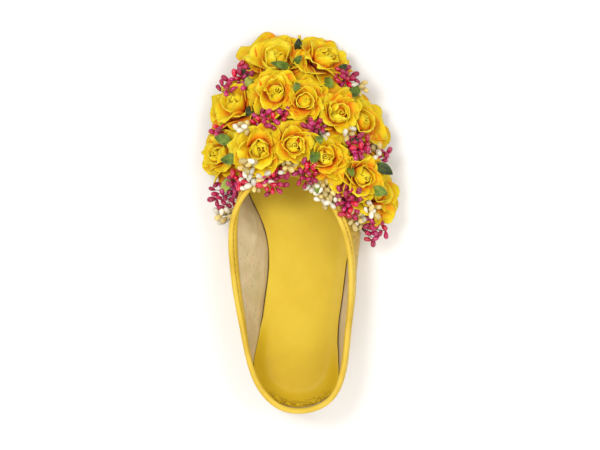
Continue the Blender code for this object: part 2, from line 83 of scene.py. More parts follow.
bpy.ops.object.camera_add(location=(MIDDLE.x, MIDDLE.y, VIEW_HEIGHT), rotation=(0, 0, 0))
camera = bpy.context.object
camera.data.sensor_width = SENSOR
camera.data.lens = SENSOR * (VIEW_HEIGHT - MIDDLE.z) / (VIEW_SPAN * PICTURE_ASPECT)
bpy.context.scene.camera = camera
bpy.context.scene.view_settings.view_transform = "Standard"
print("lens", round(camera.data.lens, 1), "mm")

# %% Lamps and sky
LAMPS = {  # where each one stands and how wide it is, in metres, and its watts
    "key": ((-0.55, 0.45, 1.45), 0.5, 10.9),
    "fill": ((0.75, 0.30, 1.3), 0.9, 7.4),
    "low": ((-0.1, -1.0, 0.9), 0.8, 6.0),
}
SKY_COLOUR = (1.0, 0.985, 0.96, 1.0)
SKY_STRENGTH = 0.545

for name, (place, width, watts) in LAMPS.items():
    turn = (MIDDLE - Vector(place)).to_track_quat("-Z", "Y").to_euler()
    bpy.ops.object.light_add(type="AREA", location=place, rotation=turn)
    made = bpy.context.object
    made.name = name
    made.data.energy = watts
    made.data.size = width

sky = bpy.context.scene.world or bpy.data.worlds.new("sky")
bpy.context.scene.world = sky
sky.use_nodes = True
backdrop = sky.node_tree.nodes["Background"].inputs
backdrop["Color"].default_value = SKY_COLOUR
backdrop["Strength"].default_value = SKY_STRENGTH
print(len(LAMPS), "lamps,", sum(row[2] for row in LAMPS.values()), "watts")

# %% [markdown]
# ## Working by hand, in code
#
# An operator acts on all that is selected, so each helper first selects just the piece that it works on.
# The rule in `reshaped` plays the part of the sculptor's hand: it gets every vertex of a piece and says
# where it goes.


# %% Helpers for the pieces
def alone(obj):
    """Deselects all, then selects this object and makes it the active one."""
    bpy.ops.object.select_all(action="DESELECT")
    obj.select_set(True)
    bpy.context.view_layer.objects.active = obj
    return obj


@contextmanager
def edit_mode(obj, action="SELECT"):
    """Edit mode on one object, with all of it selected or nothing."""
    alone(obj)
    bpy.ops.object.mode_set(mode="EDIT")
    bpy.ops.mesh.select_all(action=action)
    yield
    bpy.ops.object.mode_set(mode="OBJECT")


def modified(obj, kind, **settings):
    """Adds a modifier, sets it and applies it."""
    alone(obj)
    modifier = obj.modifiers.new(kind.lower(), kind)
    for name, value in settings.items():
        setattr(modifier, name, value)
    bpy.ops.object.modifier_apply(modifier=modifier.name)


def places_of(obj):
    """The places of an object's vertices as an array of x, y and z."""
    flat = np.empty(len(obj.data.vertices) * 3, np.float32)
    obj.data.vertices.foreach_get("co", flat)
    return flat.reshape(-1, 3).astype(float)


def reshaped(obj, rule):
    """Moves all vertices at once to where the rule puts them."""
    placed = rule(places_of(obj))
    obj.data.vertices.foreach_set("co", placed.astype(np.float32).ravel())
    obj.data.update()
    return obj


def linked(name, mesh):
    """A new object in the scene that shows this mesh."""
    made = bpy.data.objects.new(name, mesh)
    bpy.context.scene.collection.objects.link(made)
    return made


def copied(obj, name):
    """A copy with a mesh of its own."""
    return linked(name, obj.data.copy())


def joined(name, pieces):
    """Several pieces as one object with one mesh."""
    bpy.ops.object.select_all(action="DESELECT")
    for piece in pieces:
        piece.select_set(True)
    bpy.context.view_layer.objects.active = pieces[0]
    bpy.ops.object.join()
    pieces[0].name = name
    pieces[0].data.name = name
    return pieces[0]


def removed(*pieces):
    """Takes away patterns that were only copied from."""
    for piece in pieces:
        bpy.data.objects.remove(piece, do_unlink=True)


def finished(obj, slot, finishes, *nodes):
    """Shades a piece smooth and gives it its finishes. It rides with the shoe in place of these solids."""
    alone(obj)
    bpy.ops.object.shade_smooth()
    for finish in finishes:
        obj.data.materials.append(finish.material)
    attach(obj, "root")
    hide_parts(*nodes)
    return obj


def triangles(obj):
    obj.data.calc_loop_triangles()
    return len(obj.data.loop_triangles)


NO_LENGTH = 1e-12  # keeps a vector of no length from dividing by nothing


def unit(vectors):
    """Vectors of the same ways, each one long."""
    return vectors / np.maximum(np.linalg.norm(vectors, axis=-1, keepdims=True), NO_LENGTH)


# %% [markdown]
# ## Finishes as sums
#
# A material is a network of small sums. Written out node by node it is long and hard to read, so two
# classes let it be written as Python instead. A `Wire` is a socket that takes part in sums, and a
# `Finish` is a material that adds whichever node a sum needs.


# %% A colour, and a socket that takes part in sums
def paint(red, green, blue):
    """A colour as a paint chart gives it, 0 to 255, in the linear numbers that a shader wants."""
    chart = (c / 255 for c in (red, green, blue))
    return tuple(c / 12.92 if c < 0.04045 else ((c + 0.055) / 1.055) ** 2.4 for c in chart) + (1.0,)


class Wire:
    """An output socket that can be used in sums."""

    def __init__(self, finish, socket):
        self.finish = finish
        self.socket = socket

    def sum(self, operation, first, second):
        return self.finish.node("ShaderNodeMath", {"operation": operation}, [first, second])

    def __add__(self, other):
        return self.sum("ADD", self, other)

    def __sub__(self, other):
        return self.sum("SUBTRACT", self, other)

    def __rsub__(self, other):
        return self.sum("SUBTRACT", other, self)

    def __mul__(self, other):
        return self.sum("MULTIPLY", self, other)

    __radd__ = __add__
    __rmul__ = __mul__

    def fold(self):
        """The distance from the nearest whole number: waves become creases."""
        return self.finish.node("ShaderNodeMath", {"operation": "PINGPONG"}, [self, 0.5])

    def rising(self, start, end):
        """0 below start, 1 above end and smooth between them."""
        values = {"Value": self, "From Min": start, "From Max": end}
        return self.finish.node("ShaderNodeMapRange", {"interpolation_type": "SMOOTHSTEP"}, values)

    def ramp(self, *stops):
        """A colour for each place along the wire's value, as pairs of place and colour."""
        return self.finish.node("ShaderNodeValToRGB", {"stops": stops}, [self])


# %% A material that adds its own nodes
class Finish:
    """A material whose nodes are added by the sums that need them."""

    def __init__(self, name, **fixed):
        self.material = bpy.data.materials.new(name)
        self.material.use_nodes = True
        self.tree = self.material.node_tree
        self.shader = self.tree.nodes["Principled BSDF"]
        for socket, value in fixed.items():
            self.shader.inputs[socket.replace("_", " ").title().replace("Ior", "IOR")].default_value = value

    def node(self, kind, settings, values, output=0):
        """A node with its settings made first, then its sockets fed. Gives one of its outputs."""
        made = self.tree.nodes.new(kind)
        for name, value in settings.items():
            if name == "stops":
                self.set_stops(made.color_ramp, value)
            else:
                setattr(made, name, value)
        pairs = values.items() if isinstance(values, dict) else enumerate(values)
        for key, value in pairs:
            self.feed(made.inputs[key], value)
        return Wire(self, made.outputs[output])

    def set_stops(self, ramp, stops):
        while len(ramp.elements) < len(stops):
            ramp.elements.new(1.0)
        for element, (place, colour) in zip(ramp.elements, stops):
            element.position = place
            element.color = colour

    def feed(self, socket, value):
        if isinstance(value, Wire):
            self.tree.links.new(value.socket, socket)
        else:
            socket.default_value = value

    def place(self):
        return self.node("ShaderNodeTexCoord", {}, {}, "Object")

    def stretched(self, place, scale):
        """Places for a pattern that runs long where a share is under 1."""
        return self.node("ShaderNodeMapping", {}, {"Vector": place, "Scale": scale})

    def own_map(self):
        return self.node("ShaderNodeUVMap", {"uv_map": "UVMap"}, {})

    def across_and_along(self):
        """The two ways over a sheet, from its own map, each from 0 to 1."""
        parts = self.node("ShaderNodeSeparateXYZ", {}, [self.own_map()])
        return parts, Wire(self, parts.socket.node.outputs[1])

    def tone(self):
        """A number between 0 and 1 that each petal, pip or leaf carries."""
        return self.node("ShaderNodeAttribute", {"attribute_name": "tone"}, {}, "Fac")

    def noise(self, place, grain, detail=2.0, distortion=0.0):
        """Soft clouds, with the size of one given in millimetres."""
        values = {"Vector": place, "Scale": 1 / (grain * MM), "Detail": detail, "Distortion": distortion}
        return self.node("ShaderNodeTexNoise", {}, values)

    def cells(self, place, grain, feature="F1"):
        """How far a place is from the middle of its cell, with the size of one given in millimetres."""
        values = {"Vector": place, "Scale": 1 / (grain * MM)}
        return self.node("ShaderNodeTexVoronoi", {"feature": feature}, values, "Distance")

    def mix(self, share, first, second):
        """Two colours mixed by a share. A Mix node's sockets for colours are 6 and 7."""
        return self.node("ShaderNodeMix", {"data_type": "RGBA"}, {0: share, 6: first, 7: second}, 2)

    def tinted(self, colour, depth):
        """A colour, darker on some pieces and brighter on others, as their tone says."""
        dark = tuple(c * (1 - depth) for c in colour[:3]) + (1.0,)
        return self.mix(self.tone(), dark, colour)

    def colour(self, value):
        self.feed(self.shader.inputs["Base Color"], value)

    def roughness(self, value):
        self.feed(self.shader.inputs["Roughness"], value)

    def coat(self, value):
        self.feed(self.shader.inputs["Coat Weight"], value)

    def relief(self, height, millimetres):
        """Bumps from a height between 0 and 1, as deep as so many millimetres."""
        values = {"Distance": millimetres * MM, "Height": height}
        bumps = self.node("ShaderNodeBump", {}, values, "Normal")
        self.feed(self.shader.inputs["Normal"], bumps)


# %% [markdown]
# ## Floor
#
# A plain pale floor shows the shoe's soft shadow and nothing else. It is a stage, not part of the shoe, so
# one large plane with a hardly visible cloud of two whites is enough.

# %% Floor
FLOOR_SIZE = 6.0  # metres
FLOOR_CLOUD = 240.0  # millimetres

floor_finish = Finish("pale floor", roughness=0.85)
floor_cloud = floor_finish.noise(floor_finish.place(), FLOOR_CLOUD)
floor_finish.colour(floor_cloud.ramp((0.3, paint(247, 246, 244)), (0.7, paint(250, 249, 247))))
bpy.ops.mesh.primitive_plane_add(size=FLOOR_SIZE, location=(MIDDLE.x, MIDDLE.y, 0.0))
floor = bpy.context.object
floor.name = "floor"
floor.data.materials.append(floor_finish.material)

# %% [markdown]
# ## The upper: cloth outside, lining inside
#
# The upper is one wall, 1.8 mm thick, of embossed golden cloth glued over a beige lining. The plain solid
# has the right form but flat facets. A copy of it gets its triangles paired into four-sided faces, so
# that a Subdivision Surface can round them, and its rims are creased first, so that they stay where the
# binding holds them. The wear isn't sculpted but written down: a table of soft troughs and ridges, each
# from one place on the wall to another, so that every crease can be moved or deepened by itself.

# %% A smooth copy of a solid
SHARP = math.radians(50)
WELD = 1e-6


def skin(node, name):
    """A copy of a solid's mesh as one skin of four-sided faces."""
    piece = copied(NODES[node], name)
    piece.data.materials.clear()
    with edit_mode(piece):
        bpy.ops.mesh.customdata_custom_splitnormals_clear()
        bpy.ops.mesh.remove_doubles(threshold=WELD)
        bpy.ops.mesh.mark_sharp(clear=True)
        bpy.ops.mesh.tris_convert_to_quads(face_threshold=math.pi, shape_threshold=math.pi)
    corners = [len(face.vertices) for face in piece.data.polygons]
    print(name, corners.count(4), "quads and", corners.count(3), "triangles")
    return piece


def creased_rims(piece):
    """Creases the sharp edges, so that no rounding moves them."""
    with edit_mode(piece, "DESELECT"):
        bpy.ops.mesh.select_mode(type="EDGE")
        bpy.ops.mesh.edges_select_sharp(sharpness=SHARP)
        bpy.ops.transform.edge_crease(value=1.0)


def rounded(piece, levels):
    """Rounds all but the creased edges with a subdivision surface."""
    modified(piece, "SUBSURF", levels=levels, render_levels=levels)


def eased(piece, width):
    """Takes the knife's edge off a cut sheet."""
    modified(piece, "BEVEL", width=width, segments=2, limit_method="ANGLE", angle_limit=SHARP)


# %% Inside and outside
AXIS_X = 0.003  # a line along the middle of the foot: its x, its z, and the y of its two ends
AXIS_Z = 0.012
AXIS_HEEL = 0.020
AXIS_TOE = 0.170


def outward(places):
    """At each place, the way from the middle of the foot out through the wall."""
    inner = places.copy()
    inner[:, 0] = AXIS_X
    inner[:, 1] = np.clip(places[:, 1], AXIS_HEEL, AXIS_TOE)
    inner[:, 2] = AXIS_Z
    return unit(places - inner)


def outer_faces(piece):
    """For each face of the wall, whether it is on the outside of the shoe."""
    mesh = piece.data
    middles = np.array([face.center[:] for face in mesh.polygons])
    normals = np.array([face.normal[:] for face in mesh.polygons])
    return (outward(middles) * normals).sum(axis=1) > 0


def tree_of(pieces, wanted=lambda face: True):
    """The wanted faces of some pieces in one tree, to ask what lies where."""
    corners, faces = [], []
    for piece in pieces:
        start = len(corners)
        corners += [tuple(vertex.co) for vertex in piece.data.vertices]
        faces += [[start + k for k in face.vertices] for face in piece.data.polygons if wanted(face)]
    return BVHTree.FromPolygons(corners, faces)


upper = skin("upper", "upper_shell")
outer = outer_faces(upper)
OUTER_WALL = tree_of([upper], lambda face: outer[face.index])
print(sum(outer), "outer faces of", len(outer))


# %% The top edge, for the binding
RIM_ABOVE = 0.020  # no other sharp strip of the wall is higher than this, in metres
RIM_STEPS = 4  # points of the curve for each rib of the solid


def crisp(edge):
    return edge.calc_face_angle(0.0) > SHARP


def edge_middle(edge):
    return (edge.verts[0].co + edge.verts[1].co) / 2


def rim_of(piece):
    """Round the wall's top edge, rib by rib: its middle, the way out of the shoe and the way up."""
    bm = bmesh.new()
    bm.from_mesh(piece.data)
    rim = [f for f in bm.faces if f.calc_center_median().z > RIM_ABOVE and sum(map(crisp, f.edges)) == 2]
    rows = []
    face, edge = rim[0], next(e for e in rim[0].edges if not crisp(e))
    for _ in rim:
        ends = sorted(edge.verts, key=lambda v: outward(np.array([edge_middle(edge)]))[0] @ np.array(v.co))
        inner_end, outer_end = ends
        wall = next(e for e in outer_end.link_edges if e != edge and not crisp(e))
        up = outer_end.co - wall.other_vert(outer_end).co
        rows.append([*edge_middle(edge), *(outer_end.co - inner_end.co).normalized(), *up.normalized()])
        edge = next(e for e in face.edges if e != edge and not crisp(e))
        face = next(f for f in edge.link_faces if f != face)
    bm.free()
    return np.array(rows)


def closed_curve(rows, steps):
    """The cubic spline through which a subdivision surface draws a creased ring of vertices."""
    before, after, beyond = (np.roll(rows, -k, axis=0) for k in (-1, 1, 2))
    curve = []
    for t in np.arange(steps) / steps:
        weights = ((1 - t) ** 3, 3 * t**3 - 6 * t**2 + 4, -3 * t**3 + 3 * t**2 + 3 * t + 1, t**3)
        curve.append(sum(w * p for w, p in zip(weights, (before, rows, after, beyond))) / 6)
    return np.stack(curve, axis=1).reshape(-1, rows.shape[1])


rim = closed_curve(rim_of(upper), RIM_STEPS)
rim_middle, rim_out, rim_up = rim[:, :3], unit(rim[:, 3:6]), rim[:, 6:]
rim_up = unit(rim_up - rim_out * (rim_up * rim_out).sum(axis=1, keepdims=True))
RIM_LENGTH = np.linalg.norm(np.roll(rim_middle, -1, axis=0) - rim_middle, axis=1).sum()
print("top edge", len(rim), "points,", round(RIM_LENGTH / MM), "mm round")

# %% Creases of the wall, in millimetres, with side 1 for the outer side of the foot and -1 for the inner
CREASE_COLUMNS = ("side", "y0", "z0", "y1", "z1", "width", "depth")
WALL_CREASES = (
    (1, 96, 14, 108, 40, 3.0, -0.9),
    (1, 104, 12, 118, 38, 3.4, 0.7),
    (1, 60, 12, 70, 30, 4.0, -0.5),
    (1, 20, 12, 8, 34, 4.0, -0.5),
    (-1, 92, 14, 100, 40, 3.2, -0.9),
    (-1, 104, 12, 112, 36, 3.4, 0.6),
    (-1, 55, 14, 66, 34, 4.0, -0.6),
    (-1, 12, 12, 4, 34, 4.0, -0.5),
)
LINING_CREASES = (
    (-1, 118, 12, 78, 28, 2.2, 0.8),
    (-1, 96, 13, 60, 24, 1.8, -0.5),
    (-1, 70, 16, 22, 22, 2.0, 0.6),
    (-1, 30, 14, 4, 26, 1.8, 0.5),
    (1, 104, 14, 60, 24, 2.0, 0.6),
    (1, 60, 16, 18, 20, 2.0, 0.5),
)

CREASE_FADE = 0.03  # how near its ends a crease stops fading, as a share of its length


def creased(places, normals, rows):
    """Places pushed along their normals by soft troughs and ridges."""
    moved = places.copy()
    for row in rows:
        crease = dict(zip(CREASE_COLUMNS, row))
        start = np.array([crease["y0"], crease["z0"]]) * MM
        run = np.array([crease["y1"], crease["z1"]]) * MM - start
        reach = places[:, 1:] - start
        along = np.clip(reach @ run / (run @ run), 0, 1)
        off = np.linalg.norm(reach - along[:, None] * run, axis=1) / (crease["width"] * MM)
        fade = np.sin(np.pi * np.clip(along, CREASE_FADE, 1 - CREASE_FADE))
        share = np.exp(-(off**2)) * fade
        share *= np.sign(places[:, 0] - AXIS_X) == crease["side"]
        moved += normals * (share * crease["depth"] * MM)[:, None]
    return moved


def vertex_sides(piece):
    """For each vertex of the wall, 1 on the outside and 0 on the lining."""
    sides = np.zeros(len(piece.data.vertices))
    for face, out in zip(piece.data.polygons, outer_faces(piece)):
        if out:
            sides[list(face.vertices)] = 1.0
    return sides


WAVE_SHIFTS = (7.3, 3.1, 5.7)  # how far each seed moves the waves along x, y and z


def waves(places, grain, seed):
    """Soft random waves between -1 and 1, with the size of one in millimetres."""
    shift = Vector([seed * part for part in WAVE_SHIFTS])
    scale = 1 / (grain * MM)
    return np.array([noise.noise(Vector(place) * scale + shift) for place in places])


def normals_of(piece):
    flat = np.empty(len(piece.data.vertices) * 3, np.float32)
    piece.data.vertex_normals.foreach_get("vector", flat)
    return flat.reshape(-1, 3).astype(float)


# %% The worn wall
CALM_FROM = 34  # from this height up, in millimetres, the wear fades towards the bound edge
CALM_OVER = 10
SWELL_GRAIN = 17.0
SWELL = 0.35  # height of the soft waves that both sides share, in millimetres
RIPPLE_GRAIN = 7.0
RIPPLE = 0.28  # height of the lining's own ripples
RIPPLE_RUN = (1.0, 0.45, 1.0)  # they run long from heel to toe

creased_rims(upper)
rounded(upper, 2)
wall_normals = normals_of(upper)
on_cloth = vertex_sides(upper)
out_of_shoe = np.where(on_cloth > 0.5, 1.0, -1.0)[:, None] * wall_normals
wear = 1 - np.clip((places_of(upper)[:, 2] / MM - CALM_FROM) / CALM_OVER, 0, 1)


def worn_wall(places):
    """Both sides of the wall swell and crease as one, and the lining ripples on its own."""
    moved = creased(places, out_of_shoe, WALL_CREASES)
    moved += out_of_shoe * (waves(places, SWELL_GRAIN, 1) * SWELL * MM * wear)[:, None]
    lining = creased(places, wall_normals, LINING_CREASES) - places
    ripples = waves(places * RIPPLE_RUN, RIPPLE_GRAIN, 2) * RIPPLE * MM
    inner = (1 - on_cloth) * wear
    return moved + (lining + wall_normals * ripples[:, None]) * inner[:, None]


reshaped(upper, worn_wall)
print("upper", triangles(upper), "triangles")

# %% [markdown]
# ## Cloth and lining finishes
#
# The cloth is embossed all over with small raised cells. The hollows between them are darkened to a deeper
# gold as painted shade, and dark flecks sit where the gold is rubbed off. The lining is a thin beige sheet
# with faint clouds, pinker stains where glue has soaked in, fine crinkles, and patches of small brown
# specks.
# A photograph of cloth would do it too, but noise and cells keep their grain at its real size from any
# side, because they are given in millimetres.


# %% Cloth
def embossed_cloth():
    """Gold cloth: raised cells, painted shade in the hollows between them and dark flecks."""
    cloth = Finish("gold cloth", sheen_weight=0.15, sheen_roughness=0.5)
    place = cloth.place()
    hollow_and_shade = cloth.cells(place, 1.9, "SMOOTH_F1")
    fleck = 1 - cloth.cells(cloth.stretched(place, (1.0, 0.8, 1.0)), 2.3).rising(0.08, 0.24)
    weave = cloth.noise(place, 0.45, 1.0)
    cloud = cloth.noise(place, 26.0, 3.0)
    base = cloud.ramp(
        (0.30, paint(186, 148, 40)),
        (0.52, paint(200, 164, 50)),
        (0.75, paint(212, 178, 66)),
    )
    # Painted shade: the hollows between the raised cells are mixed towards a deeper gold.
    deep = cloth.mix(hollow_and_shade.rising(0.42, 0.75), base, paint(174, 134, 38))
    cloth.colour(cloth.mix(fleck * 0.7, deep, paint(146, 104, 30)))
    cloth.roughness(weave * 0.25 + 0.52)
    cloth.relief(weave * 0.25 - hollow_and_shade * 0.9 - fleck * 0.5, 0.35)
    return cloth


# %% Lining
def glued_lining():
    """Beige lining: clouds, stains of glue, crinkles and patches of brown specks."""
    lining = Finish("beige lining", sheen_weight=0.15)
    place = lining.place()
    cloud = lining.noise(place, 15.0, 3.0, 0.4)
    stain = lining.noise(lining.stretched(place, (1.0, 0.6, 1.4)), 8.0, 3.0).rising(0.52, 0.70)
    grain = lining.noise(place, 0.6, 2.0)
    crinkle = lining.noise(lining.stretched(place, (1.0, 0.7, 1.0)), 4.2, 3.0, 0.8)
    specks = 1 - lining.cells(lining.stretched(place, (1.0, 0.6, 1.0)), 2.7).rising(0.08, 0.24)
    specks = specks * lining.noise(place, 11.0, 1.0).rising(0.42, 0.56)
    base = cloud.ramp(
        (0.32, paint(196, 178, 129)),
        (0.55, paint(208, 188, 146)),
        (0.78, paint(215, 197, 160)),
    )
    soaked = lining.mix(stain * 0.5, base, paint(208, 173, 133))
    lining.colour(lining.mix(specks * 0.6, soaked, paint(140, 108, 62)))
    lining.roughness(grain * 0.2 + 0.58)
    lining.relief(grain * 0.3 + crinkle - specks * 0.5, 0.35)
    return lining


CLOTH = embossed_cloth()
LINING = glued_lining()
finished(upper, "upper_cloth", [CLOTH, LINING], "upper")
for face, out in zip(upper.data.polygons, outer_faces(upper)):
    face.material_index = 0 if out else 1
print("cloth and lining on", len(upper.data.polygons), "faces")

# %% [markdown]
# ## The binding
#
# A strip of soft yellow sheet is folded over the top edge. Its fold is stuffed to a bead, and a row of
# stitches through a groove under the bead holds both flaps, the outer one shorter than the inner. It could
# be a curve with a bevel, but that has the same section on both sides and twists on its way. So the
# section is charted once, half of it, mirrored, and then carried round the top edge on a grid: one way
# round the shoe, one way round the section.

# %% The section, in millimetres off the wall's middle and above its top edge
BEAD = 1.95
BEAD_RISE = 0.60
BEAD_ANGLES = np.radians(np.linspace(78, -26, 8))
BAND_HALF = (
    (1.36, -0.62),
    (1.28, -0.86),
    (1.42, -1.12),
    (1.76, -1.45),
    (1.90, -2.2),
    (1.92, -3.4),
    (1.84, -4.3),
    (1.62, -4.75),
    (1.34, -4.85),
    (1.14, -4.6),
    (1.14, -3.4),
    (1.14, -1.6),
    (1.12, 0.1),
    (0.70, 0.38),
)
GROOVE_ROW = (9, 10)  # which points of the half section lie in the groove
GROOVE_FOOT = -1.12  # under this height a point belongs to a flap
OUTER_FLAP = 0.65  # the outer flap's length as a share of the inner one's
STITCH_PITCH = 3.3
STITCH_LENGTH = 2.3
STITCH_RADIUS = 0.27
STITCH_PULL = 0.10  # how far the stitches draw the groove in, as a share of its distance
SWAY = 0.03  # how unevenly the flaps run, as a share of their height
SWAY_UNDER = 2  # how far from the wall's top edge that begins
SWAY_RATES = (0.37, 0.2)  # radians for each point along the top edge, and round the section


def binding_section():
    """The whole section, as a ring of points off the wall's middle and up from its top edge."""
    half = [(BEAD * math.cos(a), BEAD_RISE + BEAD * math.sin(a)) for a in BEAD_ANGLES] + list(BAND_HALF)
    inner = [(-off, high) for off, high in reversed(half)]
    outer = [(off, high + max(GROOVE_FOOT - high, 0) * (1 - OUTER_FLAP)) for off, high in half]
    return np.array([(0.0, BEAD_RISE + BEAD)] + outer + inner)


def carried_round(section):
    """A grid carried round the top edge, its rows the points of the section."""
    around, across = len(rim), len(section)
    bpy.ops.mesh.primitive_grid_add(x_subdivisions=around, y_subdivisions=across, size=2.0)
    piece = bpy.context.object
    ring = np.arange(around + 1) % around
    row = np.arange(across + 1) % across
    stitch = np.cos(2 * np.pi * ring / around * round(RIM_LENGTH / MM / STITCH_PITCH))
    along_rate, across_rate = SWAY_RATES

    def rule(_):
        placed = []
        for k in row:
            off, high = section[k] * MM
            in_groove = k in GROOVE_ROW or len(section) - k in GROOVE_ROW
            pull = 1 - STITCH_PULL * stitch * in_groove
            on_flap = abs(section[k][1]) > SWAY_UNDER
            sway = 1 + SWAY * np.sin(ring * along_rate + k * across_rate) * on_flap
            out_by = rim_out[ring] * (off * pull)[:, None]
            up_by = rim_up[ring] * (high * sway)[:, None]
            placed.append(rim_middle[ring] + out_by + up_by)
        return np.concatenate(placed)

    reshaped(piece, rule)
    with edit_mode(piece):
        bpy.ops.mesh.remove_doubles(threshold=WELD)
        bpy.ops.mesh.normals_make_consistent(inside=False)
    return piece


binding = carried_round(binding_section())
binding.name = "bound_edge"
print("binding", triangles(binding), "triangles")

# %% One stitch
THREAD_SINK = 0.10  # how far a thread is pressed into the groove, in millimetres
THREAD_TIP = 0.35  # how thick it still is at its ends, as a share
THREAD_DIP = 0.3  # how much deeper its ends lie, in millimetres


def stitch_pattern():
    """One stitch: a short thread that dips into the cloth at both ends."""
    bpy.ops.mesh.primitive_cylinder_add(vertices=6, radius=1.0, depth=2.0, end_fill_type="TRIFAN")
    thread = bpy.context.object
    with edit_mode(thread):
        bpy.ops.mesh.subdivide(number_cuts=2)

    def rule(places):
        bow = 1 - places[:, 2] ** 2
        thin = STITCH_RADIUS * (THREAD_TIP + (1 - THREAD_TIP) * np.sqrt(bow))
        x = places[:, 0] * thin + (bow - 1) * THREAD_DIP
        return np.stack([x, places[:, 1] * thin, places[:, 2] * STITCH_LENGTH / 2], axis=1) * MM

    return reshaped(thread, rule)


def repeated(name, patterns, rows):
    """One mesh of many copies: each row is a pattern's number, a matrix, a tone and a finish's number."""
    bm = bmesh.new()
    tone_layer = bm.verts.layers.float.new("tone")
    for number, matrix, tone, finish in rows:
        start, first_face = len(bm.verts), len(bm.faces)
        bm.from_mesh(patterns[number].data)
        bm.verts.ensure_lookup_table()
        bm.faces.ensure_lookup_table()
        fresh = bm.verts[start:]
        bmesh.ops.transform(bm, matrix=matrix, verts=fresh)
        for vert in fresh:
            vert[tone_layer] = tone
        for face in bm.faces[first_face:]:
            face.material_index = finish
    mesh = bpy.data.meshes.new(name)
    bm.to_mesh(mesh)
    bm.free()
    return linked(name, mesh)


# %% The row of stitches
def stitch_rows():
    """Where each stitch goes, on both sides of the wall."""
    rows = []
    count = round(RIM_LENGTH / MM / STITCH_PITCH)
    groove = (BAND_HALF[1][0] + STITCH_RADIUS - THREAD_SINK, BAND_HALF[1][1])
    for k in range(count):
        at = (k + 0.5) / count * len(rim)
        i, share = int(at), at - int(at)
        j = (i + 1) % len(rim)
        middle, out, up = (a[i] * (1 - share) + a[j] * share for a in (rim_middle, rim_out, rim_up))
        way = Vector(unit(rim_middle[j] - rim_middle[i]))
        for side in (-1, 1):
            x_axis = Vector(unit(out)) * side
            y_axis = way.cross(x_axis).normalized()
            place = Vector(middle + out * (side * groove[0] * MM) + up * groove[1] * MM)
            turn = Matrix((x_axis, y_axis, way)).transposed().to_4x4()
            rows.append((0, Matrix.Translation(place) @ turn, 0.5, 0))
    return rows


stitch = stitch_pattern()
stitches = repeated("binding_stitches", [stitch], stitch_rows())
removed(stitch)
print("stitches", triangles(stitches), "triangles")


# %% Binding and thread finishes
def soft_sheet(name, paints, grain, gloss):
    """Thin coated sheet: a fine grain, faint clouds of three paints and a satin shine."""
    deep, body, pale = paints
    sheet = Finish(name, coat_roughness=0.35, specular_ior_level=0.35)
    place = sheet.place()
    cloud = sheet.noise(place, 22.0, 3.0)
    pores = sheet.cells(place, grain)
    rub = sheet.noise(place, 4.5, 3.0, 0.6)
    sheet.colour(cloud.ramp((0.28, deep), (0.5, body), (0.74, pale)))
    sheet.roughness(rub * 0.22 + (0.50 - gloss * 0.2))
    sheet.coat(rub.rising(0.35, 0.65) * gloss)
    sheet.relief(pores * 0.5 + rub * 0.6, 0.10)
    return sheet


BINDING_PAINTS = paint(204, 166, 40), paint(218, 182, 52), paint(228, 196, 70)
THREAD_PAINTS = paint(168, 130, 34), paint(182, 144, 42), paint(196, 160, 56)
BINDING = soft_sheet("binding sheet", BINDING_PAINTS, 0.5, 0.25)
THREAD = soft_sheet("stitching thread", THREAD_PAINTS, 0.3, 0.1)
finished(binding, "binding_sheet", [BINDING], "topline_binding")
finished(stitches, "binding_sheet", [THREAD])

# %% [markdown]
# ## Insole
#
# The insole is a board with a smooth yellow cover, cut to the foot's outline and glued in. The foot has
# pressed a shallow bed into it. Its edge is rolled up the wall round the heel, where the glue has drawn
# the cover into small grooves, their creases darkened with painted shade. Cloth simulation could crumple
# it, but not at a chosen place. So a fine sheet gets an edge zone, which a rule curls, grooves and keeps
# inside the lining.

# %% The sheet and its edge
CURL_ZONE = 9.0  # how wide the strip along the edge is that may curl up the wall, in millimetres
EDGE_TILT = 0.5  # a vertex is on the edge where its normal stands less upright than this
EDGE_NEIGHBOURS = 12
KNIFE_EDGE = 0.45 * MM
INSOLE_CUTS = range(-24, 25, 8)  # cuts along the sheet, so that it is as fine across as along


def edge_zone(places, normals):
    """For each vertex of a sheet: how near it is to the edge, from 0 to 1, and the way out over it."""
    on_edge = np.flatnonzero(np.abs(normals[:, 2]) < EDGE_TILT)
    tree = KDTree(len(on_edge))
    for k in on_edge:
        tree.insert((places[k, 0], places[k, 1], 0.0), k)
    tree.balance()
    share, ways = np.zeros(len(places)), np.zeros((len(places), 3))
    for k, (x, y, _) in enumerate(places):
        near = tree.find_n((x, y, 0.0), EDGE_NEIGHBOURS)
        share[k] = np.clip(1 - near[0][2] / (CURL_ZONE * MM), 0, 1)
        ways[k] = sum(normals[i] * (1, 1, 0) / (apart + MM) ** 2 for _, i, apart in near)
    return share**2 * (3 - 2 * share), unit(ways)


insole = skin("insole", "insole_cover")
with edit_mode(insole):
    for x in INSOLE_CUTS:
        bpy.ops.mesh.select_all(action="SELECT")
        bpy.ops.mesh.bisect(plane_co=(x * MM, 0, 0), plane_no=(1, 0, 0))
eased(insole, KNIFE_EDGE)
rounded(insole, 3)
sheet_normals = normals_of(insole)
edge_share, edge_way = edge_zone(places_of(insole), sheet_normals)
print("insole", triangles(insole), "triangles,", np.count_nonzero(edge_share), "vertices near its edge")

# %% The bed, the curl and the crumpled heel, in millimetres
BED_DEPTH = 0.5  # how deep the foot has pressed the insole
BED_HALF = 30  # half the bed's width
BED_HEEL = -0.03  # the y where it begins, and its length, in metres
BED_LENGTH = 0.24
SHEET_WAVES = ((24.0, 4, 0.22), (7.0, 5, 0.05))  # grain, seed and height
SHEET_SUNK = 0.1
CURL_OUT = 5.6
CURL_UP = 14.0
